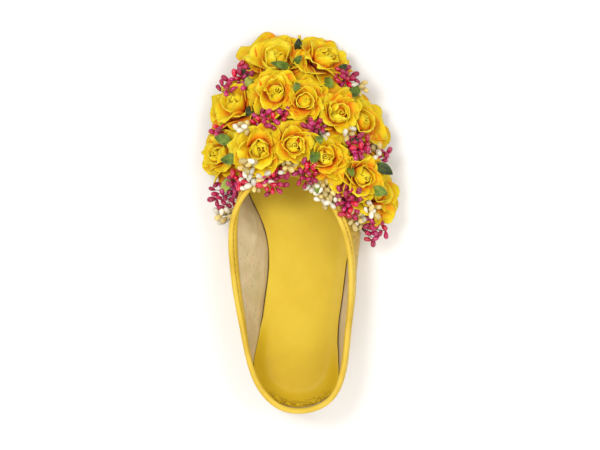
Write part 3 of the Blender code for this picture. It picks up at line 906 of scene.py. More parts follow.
# Rows of y, and how much of the curl the inner and the outer side have there.
CURL_SHARES = ((-40, 1, 1), (-14, 1, 1), (3, 1, 0.3), (16, 0.5, 0.08), (36, 0.08, 0.08), (240, 0.08, 0.08))
GLUE_END = -0.012  # behind this y, in metres, the insole's edge is crumpled
GLUE_FADE = 8
GLUE_EDGE = (0.55, 0.3)  # how near the edge the crumpling begins, and over how much it grows
GROOVE_GRAIN = 3.4
GROOVE_WIDTH = 0.14  # of a groove, as a share of the wave that it follows
GROOVE_DEPTH = 1.4
CRUMPLE_GRAIN = 2.2
CRUMPLE = 0.9
LINING_CLEAR = 0.3 * MM
LINING_NEAR = 4 * MM
STEEP = 0.8  # a part of the lining whose normal stands more upright is no wall

INNER_WALL = tree_of([upper], lambda face: face.material_index == 1)


def pressed(places):
    """How high each place of the top comes to lie under the foot."""
    width = np.abs(places[:, 0] - AXIS_X) / (BED_HALF * MM)
    length = np.clip((places[:, 1] - BED_HEEL) / BED_LENGTH, 0, 1)
    bed = np.clip(1 - width**2, 0, 1) * np.sin(np.pi * length)
    sway = sum(waves(places, grain, seed) * height for grain, seed, height in SHEET_WAVES)
    return sway - bed * BED_DEPTH - SHEET_SUNK


def worn_insole(places):
    """The top is pressed, the edge curled and crumpled, and nothing goes through the lining."""
    along, inner, outer = np.array(CURL_SHARES).T
    left, right = (np.interp(places[:, 1] / MM, along, shares) for shares in (inner, outer))
    curl = edge_share * np.where(places[:, 0] < AXIS_X, left, right)
    moved = places.copy()
    moved[:, 2] += np.clip(sheet_normals[:, 2], 0, 1) * pressed(places) * MM
    grooves = -GROOVE_DEPTH * np.exp(-((waves(places, GROOVE_GRAIN, 6) / GROOVE_WIDTH) ** 2)) * glue
    crumple = waves(places, CRUMPLE_GRAIN, 7) * CRUMPLE * glue
    moved[:, 2] += (curl * edge_share * CURL_UP + grooves) * MM
    moved += edge_way * ((curl * CURL_OUT + crumple) * MM)[:, None]
    for k in np.flatnonzero(edge_share):
        near, normal, _, apart = INNER_WALL.find_nearest(Vector(moved[k]))
        inside = (Vector(moved[k]) - near).dot(normal)
        if apart < LINING_NEAR and abs(normal.z) < STEEP and inside < LINING_CLEAR:
            moved[k] = near + normal * LINING_CLEAR
    return moved


behind = np.clip((GLUE_END - places_of(insole)[:, 1]) / (GLUE_FADE * MM), 0, 1)
glue = behind * np.clip((edge_share - GLUE_EDGE[0]) / GLUE_EDGE[1], 0, 1)
# The glue zone goes to the finish as its tone: there the creases get their relief and their painted shade.
glue_and_shade_tone = insole.data.attributes.new("tone", "FLOAT", "POINT")
glue_and_shade_tone.data.foreach_set("value", glue.astype(np.float32))
reshaped(insole, worn_insole)
print("crumpled by glue:", np.count_nonzero(glue), "vertices")


# %% Insole finish
def wrinkled_and_shaded(sheet, deep):
    """Adds the creases that glue has drawn, darkened with painted shade, where the piece's tone is high.

    Their relief takes the place of the sheet's own.
    """
    pull = sheet.noise(sheet.stretched(sheet.place(), (0.5, 1.9, 1.0)), 4.4, 1.0, 0.8)
    # Painted shade: the creases are mixed towards the deep paint.
    crease = (pull.rising(0.43, 0.50) - pull.rising(0.50, 0.57)) * sheet.tone()
    plain = Wire(sheet, sheet.shader.inputs["Base Color"].links[0].from_socket)
    sheet.colour(sheet.mix(crease * 0.7, plain, deep))
    sheet.relief(1 - crease, 0.8)


INSOLE_PAINTS = paint(208, 173, 25), paint(212, 179, 31), paint(216, 185, 39)
INSOLE = soft_sheet("insole sheet", INSOLE_PAINTS, 0.6, 0.12)
# The deep paint is the painted shade in the creases near the heel.
wrinkled_and_shaded(INSOLE, paint(178, 128, 18))
finished(insole, "insole_sheet", [INSOLE], "insole")

# %% [markdown]
# ## Sole and heel lift
#
# Both are plates cut from thick tan leather with a knife, so the plain solids already have their form. A
# bevel takes the knife's edge off the lift, and a subdivision surface rounds the outlines. The leather
# needs no picture either: pores are cells, fibres are noise drawn out long.


# %% Sole and heel lift
LIFT_EDGE = 0.5 * MM


def leather(name, light, dark):
    """Plain tan sole leather: pores, long fibres and paler rubbed scuffs."""
    hide = Finish(name)
    place = hide.place()
    cloud = hide.noise(place, 30.0, 4.0, 0.5)
    pores = hide.cells(place, 0.9)
    fibre = hide.noise(hide.stretched(place, (1.0, 0.12, 1.0)), 1.1, 3.0)
    scuff = hide.noise(hide.stretched(place, (1.0, 0.3, 1.0)), 12.0, 5.0, 1.0).rising(0.55, 0.72)
    base = cloud.ramp((0.3, dark), (0.7, light))
    hide.colour(hide.mix(scuff * 0.35 + fibre * 0.15, base, paint(206, 172, 128)))
    hide.roughness(fibre * 0.25 + 0.5 + scuff * 0.15)
    hide.relief(pores * 0.5 + fibre * 0.5, 0.12)
    return hide


SOLE = leather("sole leather", paint(176, 128, 82), paint(146, 100, 58))
LIFT = leather("heel lift leather", paint(150, 104, 64), paint(120, 80, 46))
for node, name, finish in (("outsole", "leather_sole", SOLE), ("heel_lift", "leather_lift", LIFT)):
    plate = skin(node, name)
    if node == "heel_lift":
        eased(plate, LIFT_EDGE)
    rounded(plate, 2)
    finished(plate, "sole_leather", [finish], node)
    print(name, triangles(plate), "triangles")

# %% [markdown]
# ## Roses
#
# Each rose has five rings of ruffled petals round a bud, a rolled sheet that is nearly shut and leans a
# little to one side. A low dome inside closes the flower, and five green sepals hold it from below. It
# could be sculpted, but copies of one sculpted flower would all look the same. So a petal starts as a flat
# grid, one way across and one way from root to rim. A rule with chance numbers for each petal lays it
# along an arc that starts at the ring's rise and ends rolled back, cups it across, draws its corners round
# and ruffles its rim. The plain solid tells where the flower stands: its two poles are foot and heart.

# %% Where the roses stand
ROSE_HEIGHT = 19.0  # of a flower from foot to rim, in millimetres
ROSE_NAMES = sorted(name for name in NODES if name.startswith("rose_"))
UPTURN = 0.70  # how much of straight up is added to each stem, so that the flowers look up


def stand_of(node):
    """A rose's matrix with Z along its stem and X to its widest petal, and its radius in millimetres."""
    bm = bmesh.new()
    bm.from_mesh(NODES[node].data)
    bmesh.ops.remove_doubles(bm, verts=bm.verts, dist=WELD)
    poles = sorted(bm.verts, key=lambda v: -len(v.link_edges))[:2]
    foot, heart = sorted((v.co.copy() for v in poles), key=lambda co: OUTER_WALL.find_nearest(co)[3])
    stem = ((heart - foot).normalized() + Vector((0, 0, UPTURN))).normalized()
    arms = [v.co - foot - stem * (v.co - foot).dot(stem) for v in bm.verts]
    bm.free()
    widest = max(arms, key=lambda arm: arm.length)
    side = widest.normalized()
    turn = Matrix((side, stem.cross(side), stem)).transposed().to_4x4()
    return Matrix.Translation(foot) @ turn, widest.length / MM


STANDS = {node: stand_of(node) for node in ROSE_NAMES}
CENTRES = np.array([STANDS[n][0] @ Vector((0, 0, ROSE_HEIGHT / 2 * MM)) for n in ROSE_NAMES])
RADII = np.array([STANDS[n][1] * MM for n in ROSE_NAMES])
print("radii", [round(r / MM, 1) for r in RADII])


# %% Flat sheets that become petals and leaves
PETAL_FACES = (14, 12)


def flat_sheet(faces):
    """A flat grid from -1 to 1 each way, whose vertices can carry a tone."""
    bpy.ops.mesh.primitive_grid_add(x_subdivisions=faces[0], y_subdivisions=faces[1], size=2.0)
    sheet = bpy.context.object
    sheet.data.attributes.new("tone", "FLOAT", "POINT")
    return sheet


def over(places):
    """Where the places of a flat sheet lie: across from -1 to 1 and along from 0 to 1."""
    return places[:, 0], (places[:, 1] + 1) / 2


def grown(sheet, name, rule, tone):
    """A copy of a flat sheet, laid by a rule. Its finish takes its shade from the tone."""
    piece = reshaped(copied(sheet, name), rule)
    values = np.full(len(piece.data.vertices), tone, np.float32)
    piece.data.attributes["tone"].data.foreach_set("value", values)
    return piece


flat_petal = flat_sheet(PETAL_FACES)
print("a flat petal has", len(flat_petal.data.polygons), "faces")

# %% What a petal is like, in millimetres and degrees
PETAL_COLUMNS = ("count", "turn", "root", "base", "length", "width", "rise", "roll", "cup", "ruffle")
PETAL_RINGS = (
    (5, 0.00, 2.0, 3.0, 18.4, 24.0, 20, -34, 15.0, 1.7),
    (5, 0.50, 2.0, 3.8, 17.0, 22.0, 40, -20, 11.0, 1.9),
    (4, 0.15, 1.8, 4.4, 15.6, 19.5, 56, 10, 8.5, 1.6),
    (3, 0.60, 1.6, 4.8, 15.2, 17.5, 62, 92, 6.5, 1.0),
    (3, 0.20, 1.4, 5.0, 15.8, 14.5, 54, 188, 5.0, 0.5),
)
SEPALS = (5, 0.50, 2.0, 2.2, 13.5, 6.0, 10, -6, 9.0, 0.2)
PETAL_CHANCES = {  # between which two numbers each petal's own share or addition lies
    "length": (0.90, 1.08),
    "width": (0.88, 1.12),
    "rise": (-10, 8),
    "roll": (-26, 18),
    "ruffle": (0.5, 1.5),
    "phase": (0, 2 * math.pi),
    "fold": (-0.3, 0.3),
    "lobes": (3.0, 5.4),
    "turn": (-13, 13),
}
PETAL_WALL = 0.5
ARC_STEPS = np.linspace(0, 1.15, 47)  # along a petal from its root, and some way past its rim
ARC_BEND = 2.2  # the higher, the nearer to the rim a petal rolls back
WIDEST = 0.60  # where along a petal it is widest
TAIL = 0.49  # past the widest place, the length over which a full ellipse would close the petal
NECK = 0.30  # how wide it is at its root, as a share
CORNERS = 0.11  # how far its rim's corners are drawn back
SCALLOP = 0.16  # how deep its rim is scalloped, and how much less so at the sides
SCALLOP_FADE = 0.6
CUP_MOST = 2.6  # radians that it may be cupped to each side
RUFFLES = (3.4, 8.2)  # radians of its broad and its fine ruffles over half its width
FINE_RUFFLE = 0.40  # how high the fine ones are, as a share of the broad ones
TWIST = 0.8  # how much one side of its rim stands over its middle
FOLD_DEPTH = 1.4  # of the crease along its middle
FOLD_WIDTH = 0.03


# %% One petal's rule
def petal_arc(petal, length, rise, roll):
    """A petal's slope on its way from root to rim, and how far out and up it has come."""
    bend = rise + (roll - rise) * ARC_STEPS**ARC_BEND
    line = np.concatenate([[[0, 0]], np.cumsum(np.array([np.cos(bend), np.sin(bend)]).T, axis=0)[:-1]])
    return bend, line * length * (ARC_STEPS[1] - ARC_STEPS[0]) + (petal["root"], petal["base"])


def petal_rule(petal, angle, draw):
    """The rule that turns a flat grid into one petal. draw gives the petal's own chance numbers."""
    chance = {name: draw.uniform(*limits) for name, limits in PETAL_CHANCES.items()}
    length = petal["length"] * chance["length"]
    width = petal["width"] * chance["width"]
    rise = math.radians(petal["rise"] + chance["rise"])
    roll = math.radians(petal["roll"] + chance["roll"])
    ruffle = petal["ruffle"] * chance["ruffle"]
    phase, fold, lobes = chance["phase"], chance["fold"], chance["lobes"]
    angle += math.radians(chance["turn"])
    bend, line = petal_arc(petal, length, rise, roll)
    broad, fine = RUFFLES

    def rule(places):
        u, v = over(places)
        scallop = SCALLOP / lobes * np.sin(lobes * u + phase) * (1 - SCALLOP_FADE * u**2) * v**3
        reach = v - CORNERS * u**2 * v**3 + scallop
        tail = np.sqrt(1 - (np.clip(v - WIDEST, 0, 1) / TAIL) ** 2)
        half = width / 2 * (NECK + (1 - NECK) * np.sin(np.pi / 2 * np.clip(v / WIDEST, 0, 1))) * tail
        turned = np.clip(u * half / petal["cup"], -CUP_MOST, CUP_MOST)
        side = petal["cup"] * np.sin(turned)
        lift = petal["cup"] * (1 - np.cos(turned))
        fine_ruffle = FINE_RUFFLE * ruffle * v**2 * np.sin(fine * u - phase)
        lift += ruffle * v**3 * np.sin(broad * u + phase) + fine_ruffle
        lift += TWIST * u * v - FOLD_DEPTH * np.exp(-((u - fold) ** 2) / FOLD_WIDTH) * v * (1 - v)
        slope = np.interp(reach, ARC_STEPS, bend)
        out = np.interp(reach, ARC_STEPS, line[:, 0]) - np.sin(slope) * lift
        high = np.interp(reach, ARC_STEPS, line[:, 1]) + np.cos(slope) * lift
        x = out * math.cos(angle) - side * math.sin(angle)
        y = out * math.sin(angle) + side * math.cos(angle)
        return np.stack([x, y, high], axis=1)

    return rule


# %% The bud and the core, in millimetres
HEART_TURNS = (1.5, 1.9)  # how often its sheet is rolled round
HEART_EYE = 0.35  # the radius where the roll begins, and how much it grows with half the sheet
HEART_GROWTH = 1.55
HEART_BELLY = 1.10  # how much wider it is at its foot, and how much of that its rim gives up
HEART_CLOSE = 0.28
HEART_FOOT = 5.0
HEART_HEIGHT = 13.4
HEART_WAVE = 0.8  # of its rim
HEART_SLANT = 0.9  # how much lower the sheet's outer end stands
CORE_RADIUS = 5.2
CORE_TOP = 15.0
CORE_DROP = 2.2


def heart_rule(draw):
    """A sheet rolled up to a bud that is nearly shut."""
    turns = draw.uniform(*HEART_TURNS) * math.pi
    start = draw.uniform(0, 2 * math.pi)

    def rule(places):
        u, v = over(places)
        angle = start + turns * u
        radius = (HEART_EYE + HEART_GROWTH * (u + 1)) * (HEART_BELLY - HEART_CLOSE * v**3)
        high = HEART_FOOT + v * (HEART_HEIGHT + HEART_WAVE * np.sin(2 * angle)) - HEART_SLANT * u
        return np.stack([radius * np.cos(angle), radius * np.sin(angle), high], axis=1)

    return rule


def core_rule(places):
    """A low dome that closes the rose under its heart."""
    u, w = places[:, 0], places[:, 1]
    x, y = u * np.sqrt(1 - w**2 / 2), w * np.sqrt(1 - u**2 / 2)
    return np.stack([x * CORE_RADIUS, y * CORE_RADIUS, CORE_TOP - CORE_DROP * (x**2 + y**2)], axis=1)


# %% Petals make room for each other
OVERLAP = 1.45  # how far petals may reach over a neighbour, as a share of their own half
LEAST_SHARE = 0.45  # no petal is drawn in to less than this share of its reach
PRESSED_UP = 0.12  # how much a petal that is drawn in rises instead
WALL_CLEAR = 0.9 * MM
WALL_BEHIND = 0.7  # a place is inside the wall where it lies this far behind it, as a share of the way
FLOOR_CLEAR = 2.6 * MM


def making_room(number, places, stem):
    """Each petal that would reach too far over a neighbouring rose is drawn in towards its root."""
    centre, size = CENTRES[number], RADII[number]
    petals = places.reshape(-1, len(flat_petal.data.vertices), 3).copy()
    for other in range(len(CENTRES)):
        apart = CENTRES[other] - centre
        reach = np.linalg.norm(apart)
        if other == number or reach > size + RADII[other]:
            continue
        side = apart / reach
        room = reach * size / (size + RADII[other]) * OVERLAP
        along = (petals - centre) @ side
        root = along[:, : PETAL_FACES[0] + 1].mean(axis=1, keepdims=True)
        far = along.max(axis=1, keepdims=True)
        share = np.clip((room - root) / np.maximum(far - root, MM), LEAST_SHARE, 1.0)
        back = np.maximum(along - root, 0) * (1 - share)
        petals += back[:, :, None] * (stem * PRESSED_UP - side)
    return petals.reshape(-1, 3)


def off_the_wall(places, clear):
    """Places moved out of the upper, and clear of it, where they lie in it or too near."""
    moved = places.copy()
    for k, place in enumerate(places):
        near, normal, _, distance = OUTER_WALL.find_nearest(Vector(place))
        away = (Vector(place) - near).dot(normal)
        if distance < clear or -away > WALL_BEHIND * distance:
            moved[k] = near + normal * clear
    moved[:, 2] = np.maximum(moved[:, 2], FLOOR_CLEAR)
    return moved


# %% Petal finish
def crepe_petal():
    """Crinkled crepe: orange deep in the flower, yellow at the rim with a painted highlight, painted olive
    shade, fine veins.
    """
    petal = Finish("yellow petal", sheen_weight=0.05, sheen_roughness=0.4, specular_ior_level=0.2)
    _, along = petal.across_and_along()
    place = petal.place()
    tone = petal.tone()
    cloud = petal.noise(place, 5.5, 2.0, 0.5)
    depth = along + (cloud - 0.5) * 0.50 + (tone - 0.5) * 0.26
    base = depth.ramp(
        (0.18, paint(204, 72, 6)),
        (0.40, paint(230, 116, 14)),
        (0.57, paint(236, 154, 18)),
        (0.71, paint(228, 184, 12)),
        (0.90, paint(231, 202, 20)),
        # The palest stop, at the rim, is a painted highlight.
        (1.0, paint(239, 216, 50)),
    )
    # Painted shade: random patches are mixed towards olive yellow.
    shade = petal.noise(place, 8.0, 1.0).rising(0.50, 0.74)
    petal.colour(petal.mix(shade * 0.45, base, paint(200, 176, 14)))
    vein = petal.noise(petal.stretched(petal.own_map(), (26.0, 2.2, 1.0)), 1000.0, 2.0, 0.3)
    crinkle = petal.noise(place, 1.5, 2.0, 0.6)
    petal.roughness(crinkle * 0.2 + 0.55)
    petal.relief(vein * 0.6 + crinkle * 0.6, 0.35)
    return petal


# %% Leaf finish
def leaf_cloth(name, dark, body, pale):
    """Printed cloth: a pale rib and veins on green, darker or paler with the leaf's tone."""
    leaf = Finish(name, sheen_weight=0.05)
    across, along = leaf.across_and_along()
    place = leaf.place()
    side = (across * 2 - 1).fold()
    rib = 1 - side.rising(0.0, 0.05)
    vein = 1 - (along * 7 - side * 3).fold().rising(0.0, 0.10)
    cloud = leaf.noise(place, 4.0, 2.0) * 0.6 + leaf.tone() * 0.6 - 0.1
    base = cloud.ramp((0.25, dark), (0.5, body), (0.8, pale))
    leaf.colour(leaf.mix(vein * 0.25 + rib * 0.35, base, pale))
    leaf.roughness(cloud * 0.2 + 0.45)
    leaf.relief(leaf.noise(place, 0.7) * 0.4 - vein * 0.5 - rib * 0.8, 0.2)
    return leaf


PETAL = crepe_petal()
LEAF = leaf_cloth("leaf cloth", paint(34, 46, 14), paint(96, 124, 22), paint(170, 184, 80))


# %% A ring of petals
def petals_of(ring, draw, finish_number, opening):
    """One ring of petals, each with a mesh and chance numbers of its own."""
    row = dict(zip(PETAL_COLUMNS, ring))
    row["roll"] -= opening
    made = []
    for k in range(row["count"]):
        angle = 2 * math.pi * (k + row["turn"]) / row["count"]
        made.append(grown(flat_petal, "petal", petal_rule(row, angle, draw), draw.random()))
        for face in made[-1].data.polygons:
            face.material_index = finish_number
    return made


# %% The thirteen roses
ROSE_SEED = 11
ROSE_RADIUS = 18.5  # of the flower that the petal's sizes are given for, in millimetres
LEAN = (1.5, 4.5)  # how far a rose's heart may stand off its middle, in millimetres
OPENING = 9  # how many degrees a rose may be more open or more closed than the table says
CORE_TONE = 0.8


def rose(number, node):
    """A whole rose in its place on the vamp."""
    draw = random.Random(number + ROSE_SEED)
    stand, radius = STANDS[node]
    opening = draw.uniform(-OPENING, OPENING)
    lean = draw.uniform(*LEAN)
    heading = draw.uniform(0, 2 * math.pi)
    lean_way = lean * np.array([math.cos(heading), math.sin(heading), 0])
    sheets = [grown(flat_petal, "heart", heart_rule(draw), draw.random())]
    sheets.append(grown(flat_petal, "core", core_rule, CORE_TONE))
    for ring in PETAL_RINGS:
        sheets += petals_of(ring, draw, 0, opening)
    sheets += petals_of(SEPALS, draw, 1, 0)
    flower = joined(f"rose_bloom_{number + 1:02d}", sheets)
    wide = radius / ROSE_RADIUS
    turn = np.array(stand.to_3x3())
    stem = turn[:, 2]

    def rule(places):
        leaned = places + lean_way * (places[:, 2:] / ROSE_HEIGHT) ** 2
        world = (leaned * (wide, wide, 1.0) * MM) @ turn.T + np.array(stand.translation)
        return off_the_wall(making_room(number, world, stem), WALL_CLEAR)

    reshaped(flower, rule)
    modified(flower, "SOLIDIFY", thickness=PETAL_WALL * MM, offset=0.0)
    return finished(flower, "rose_petals", [PETAL, LEAF], node)


blooms = [rose(number, node) for number, node in enumerate(ROSE_NAMES)]
removed(flat_petal)
print("roses", sum(triangles(bloom) for bloom in blooms), "triangles")

# %% [markdown]
# ## Sprays of pips
#
# Between the roses stand tufts of stamen pips, as a florist buys them: small teardrops of sugar-coated or
# lacquered paste, each on a stiff thread. Particles could scatter them, but each tuft of this shoe has its
# own place and colours. So a table says where a tuft stands, how wide it spreads and which kinds of pip it
# has. One pip and one thread are modelled, a few dozen faces each. The pips rise to just over the petals
# that a plumb line meets there, so that they show. Then they are moved apart and off the shoe, and their
# threads run back to one root on the upper.

# %% How high the flower bed is
BED_TOP = 0.2  # higher than anything
BED = tree_of([upper, binding] + blooms)
MOUTH_FLOOR = tree_of([insole])


def below(tree, x, y):
    """What a plumb line at this place meets first: its place and its normal, or nothing."""
    return tree.ray_cast(Vector((x, y, BED_TOP)), Vector((0, 0, -1)))[:2]


def crown(x, y, least):
    """How high the flower bed stands at a place, but at least so high."""
    hit, _ = below(BED, x, y)
    return max(hit.z, least) if hit else least


# %% One pip and one thread
PIP_LENGTH = 7.2
PIP_WIDTH = 5.0
PIP_WAIST = 0.76  # how wide a pip is half way up, as a share
THREAD_RADIUS = 0.25


def pip_pattern():
    """A teardrop whose round end points up."""
    bpy.ops.mesh.primitive_ico_sphere_add(subdivisions=2, radius=1.0)
    drop = bpy.context.object

    def rule(places):
        wide = (PIP_WAIST + (1 - PIP_WAIST) * places[:, 2]) * PIP_WIDTH / 2
        x, y, z = places[:, 0] * wide, places[:, 1] * wide, places[:, 2] * PIP_LENGTH / 2
        return np.stack([x, y, z], axis=1) * MM

    return reshaped(drop, rule)


def thread_pattern():
    """A thread one metre long that starts at the origin, to be drawn out to its own length."""
    radius = THREAD_RADIUS * MM
    bpy.ops.mesh.primitive_cylinder_add(vertices=5, radius=radius, depth=1.0, location=(0, 0, 0.5))
    thread = bpy.context.object
    bpy.ops.object.transform_apply(location=True)
    return thread


PATTERNS = [pip_pattern(), thread_pattern()]

# %% Where the tufts stand, in millimetres, and what they hold
TUFT_COLUMNS = ("x", "y", "reach", "count", "kinds")
KINDS = "gcvwk"  # magenta, crimson, violet, white and pale gold, as in the list of pip finishes
SPRAYS = sorted(name for name in NODES if name.startswith("pip_spray_"))
TUFTS = (  # the first ones stand in for the plain sprays, in their order
    (-38.0, 208.0, 7.5, 15, "vgvgc"),
    (34.5, 206.0, 8.0, 18, "cgvgc"),
    (-22.0, 177.0, 7.0, 14, "cvgv"),
    (13.5, 171.5, 5.5, 10, "gvg"),
    (44.5, 158.0, 8.0, 18, "cggv"),
    (-50.5, 124.0, 9.5, 22, "gvgcg"),
    (-16.5, 133.5, 9.0, 18, "gccgv"),
    (8.0, 138.5, 8.0, 17, "gcgcv"),
    (37.0, 119.0, 10.0, 24, "cgvgg"),
    (56.5, 99.0, 8.0, 16, "cgvg"),
    (-51.0, 201.0, 5.0, 7, "ggv"),
    (-8.5, 180.5, 3.0, 4, "cv"),
    (63.0, 152.5, 3.5, 5, "vg"),
    (-56.0, 170.0, 4.0, 6, "gc"),
    (-40.5, 133.5, 6.5, 12, "ccvcg"),
    (44.5, 201.0, 4.5, 6, "kwk"),
    (-38.0, 171.5, 4.0, 6, "wk"),
    (-34.5, 143.5, 5.0, 9, "kw"),
    (-31.5, 131.5, 6.0, 10, "wwk"),
    (-23.0, 135.0, 4.0, 6, "kw"),
    (-5.5, 141.0, 5.5, 9, "kkgkw"),
    (12.0, 130.5, 4.0, 6, "wk"),
    (18.5, 125.5, 5.5, 12, "kwk"),
    (25.5, 120.0, 4.5, 8, "wk"),
    (19.0, 166.0, 2.5, 3, "w"),
    (38.0, 165.5, 3.0, 4, "kw"),
    (56.5, 154.5, 4.5, 7, "wk"),
    (54.0, 112.0, 4.5, 7, "wk"),
    (43.0, 106.0, 6.0, 11, "kkw"),
    (-51.0, 109.0, 5.0, 10, "kw"),
)
print(len(TUFTS), "tufts,", len(SPRAYS), "of them for plain sprays")

# %% Room for the pips
PIP_ROOM = 4.6 * MM  # how far apart the middles of two pips are, where there is room
PIP_STRAY = 2.2 * MM  # how far a pip may be moved for that
PIP_CLEAR = 2.5 * MM  # how far its middle stays off the upper and the binding
ROOM_ROUNDS = 12
ROOM_STEP = 0.4  # how much of the missing room each round makes
LEAST_GAP = MM / 10

SHOE_SKIN = tree_of([upper, binding])
pips_so_far = []


def making_way(middles):
    """Pips moved apart and off the upper and its binding, none far and none down."""
    others = np.array(pips_so_far).reshape(-1, 3)
    moved = middles.copy()
    for _ in range(ROOM_ROUNDS):
        gaps = moved[:, None] - np.concatenate([others, moved])
        far = np.maximum(np.linalg.norm(gaps, axis=2), LEAST_GAP)
        push = np.clip(PIP_ROOM / far - 1, 0, 1)
        strayed = moved + ROOM_STEP * (gaps * push[:, :, None]).sum(axis=1) - middles
        strayed[:, 2] = np.maximum(strayed[:, 2], 0)
        length = np.maximum(np.linalg.norm(strayed, axis=1, keepdims=True), PIP_STRAY)
        moved = middles + strayed * PIP_STRAY / length
        for k, place in enumerate(moved):
            near, normal, _, apart = SHOE_SKIN.find_nearest(Vector(place))
            if apart < PIP_CLEAR:
                moved[k] = near + normal * PIP_CLEAR
    pips_so_far.extend(moved)
    return moved


# %% A tuft's root and its pips
LEAST_RISE = 24 * MM  # no pip hangs lower
THROAT_RISE = 45 * MM  # about where the edge of the throat is
FLAT_ENOUGH = 0.1  # the upper carries a root where its normal stands at least this upright
TUFT_DROP = 3 * MM  # how much lower than the tuft's middle height a pip may be
TUFT_RISE = 5 * MM
TUFT_SPIRAL = 2.4  # radians from each pip to the next, as seeds lie in a flower head
TUFT_WAVER = 0.5
TUFT_DOME = 2.6  # how much higher the middle of a tuft stands, in millimetres
PIP_OVER = 1.0  # how far over the bed its lowest pips are


def root_of(x, y):
    """Where a tuft is glued, and the least height of its pips.

    It is glued on the upper under it, or on the nearest part of the upper's outside. Over the mouth that
    is the edge of the throat, and there no pip hangs down into the shoe.
    """
    hit, normal = below(OUTER_WALL, x, y)
    if hit and normal.z > FLAT_ENOUGH:
        return hit, LEAST_RISE
    if below(MOUTH_FLOOR, x, y)[0]:
        root = OUTER_WALL.find_nearest(Vector((x, y, THROAT_RISE)))[0]
        return root, root.z
    return OUTER_WALL.find_nearest(Vector((x, y, LEAST_RISE)))[0], LEAST_RISE


def tuft_places(tuft, least, draw):
    """The pips' places in the floor's plane and their heights, none far from the others."""
    reach, count = tuft["reach"] * MM, tuft["count"]
    share = np.sqrt((np.arange(count) + 0.5) / count)
    waver = np.array([draw.uniform(-TUFT_WAVER, TUFT_WAVER) for _ in range(count)])
    angles = TUFT_SPIRAL * np.arange(count) + waver
    x = tuft["x"] * MM + np.cos(angles) * reach * share
    y = tuft["y"] * MM + np.sin(angles) * reach * share
    high = np.array([crown(*place, least) for place in zip(x, y)])
    middle = np.median(high)
    dome = (TUFT_DOME * (1 - share**2) + PIP_OVER) * MM
    high = np.clip(high, middle - TUFT_DROP, middle + TUFT_RISE) + dome
    return zip(making_way(np.stack([x, y, high], axis=1)), share, angles)


# %% Where each pip and thread goes
PIP_TURN = 1.3  # radians that a pip may point aside
PIP_TILT = (5, 25)  # degrees that it stands up, and how many more in the middle of its tuft
MIDDLE_TILT = 45
PIP_SIZES = (0.80, 1.10)
PIP_THREADED = 0.46  # how far from its middle a thread leaves a pip, as a share of its length


def pointing(way):
    """The turn that points a pattern's Z along a way."""
    return way.to_track_quat("Z", "Y").to_matrix().to_4x4()


def tuft_rows(tuft, draw):
    """A row of the table for `repeated` for each pip and each thread of a tuft."""
    root, least = root_of(tuft["x"] * MM, tuft["y"] * MM)
    rows = []
    for k, (middle, share, angle) in enumerate(tuft_places(tuft, least, draw)):
        middle = Vector(middle)
        angle += draw.uniform(-PIP_TURN, PIP_TURN)
        rise = math.radians(draw.uniform(*PIP_TILT) + MIDDLE_TILT * (1 - share))
        flat = math.cos(rise)
        axis = Vector((math.cos(angle) * flat, math.sin(angle) * flat, math.sin(rise)))
        size = draw.uniform(*PIP_SIZES)
        kind = tuft["kinds"][k % len(tuft["kinds"])]
        stand = Matrix.Translation(middle) @ pointing(axis) @ Matrix.Scale(size, 4)
        rows.append((0, stand, draw.random(), KINDS.index(kind)))
        line = middle - axis * (PIP_LENGTH * PIP_THREADED * MM * size) - root
        stretch = Matrix.Scale(line.length, 4, Vector((0, 0, 1)))
        thread = Matrix.Translation(root) @ pointing(line) @ stretch
        rows.append((1, thread, draw.random(), len(KINDS)))
    return rows


# %% Pip finishes
def sugared(name, body, glint_paint):
    """Paste rolled in coarse sugar: rows of beads over a deeper colour, each bead's middle painted pale as
    a glint.
    """
    sugar = Finish(name, coat_roughness=0.15, specular_ior_level=0.6)
    place = sugar.place()
    beads = sugar.cells(place, 1.15)
    top = 1 - beads.rising(0.12, 0.36)
    # Painted glints: the middle of each bead is mixed towards the pale glint paint.
    sugar.colour(sugar.mix(top * 0.9, sugar.tinted(body, 0.45), glint_paint))
    sugar.roughness(0.42 - top * 0.25)
    sugar.coat(top * 0.8)
    sugar.relief(top, 0.45)
    return sugar


def lacquered(name, body, gloss):
    """Paste dipped in clear lacquer, a little uneven."""
    drop = Finish(name, coat_roughness=0.06)
    cloud = drop.noise(drop.place(), 2.2, 2.0)
    drop.colour(drop.tinted(body, 0.45))
    drop.roughness(cloud * 0.2 + 0.25)
    drop.coat(cloud * 0.3 + gloss)
    drop.relief(cloud, 0.15)
    return drop


# The second paint of each sugared pip is its painted glint.
PIPS = [
    sugared("magenta sugared pip", paint(186, 4, 74), paint(250, 170, 204)),
    lacquered("crimson pip", paint(228, 4, 62), 0.7),
    lacquered("violet pip", paint(206, 40, 112), 0.4),
    lacquered("white pip", paint(253, 245, 222), 0.5),
    sugared("pale gold pip", paint(240, 212, 128), paint(255, 246, 206)),
]
THREADS = lacquered("olive thread", paint(92, 82, 40), 0.1)

# %% The tufts
TUFT_SEED = 101

tufts = []
for number, row in enumerate(TUFTS):
    rows = tuft_rows(dict(zip(TUFT_COLUMNS, row)), random.Random(number + TUFT_SEED))
    made = repeated(f"stamen_tuft_{number + 1:02d}", PATTERNS, rows)
    tufts.append(finished(made, "stamen_pips", PIPS + [THREADS], *SPRAYS[number : number + 1]))
removed(*PATTERNS)
print(len(tufts), "tufts,", sum(triangles(tuft) for tuft in tufts), "triangles")

# %% [markdown]
# ## Leaves
#
# Small cloth leaves stick out between the roses, some dark, some pale. A leaf could be cut from a plane
# with a picture of a leaf, but its outline shows from every side, so it is modelled. It is a flat grid
# again: one rule draws it to a point at both ends, folds it along its rib and bends it. The table gives
# its root and heading in the floor's plane, and the flower bed under it gives its height.

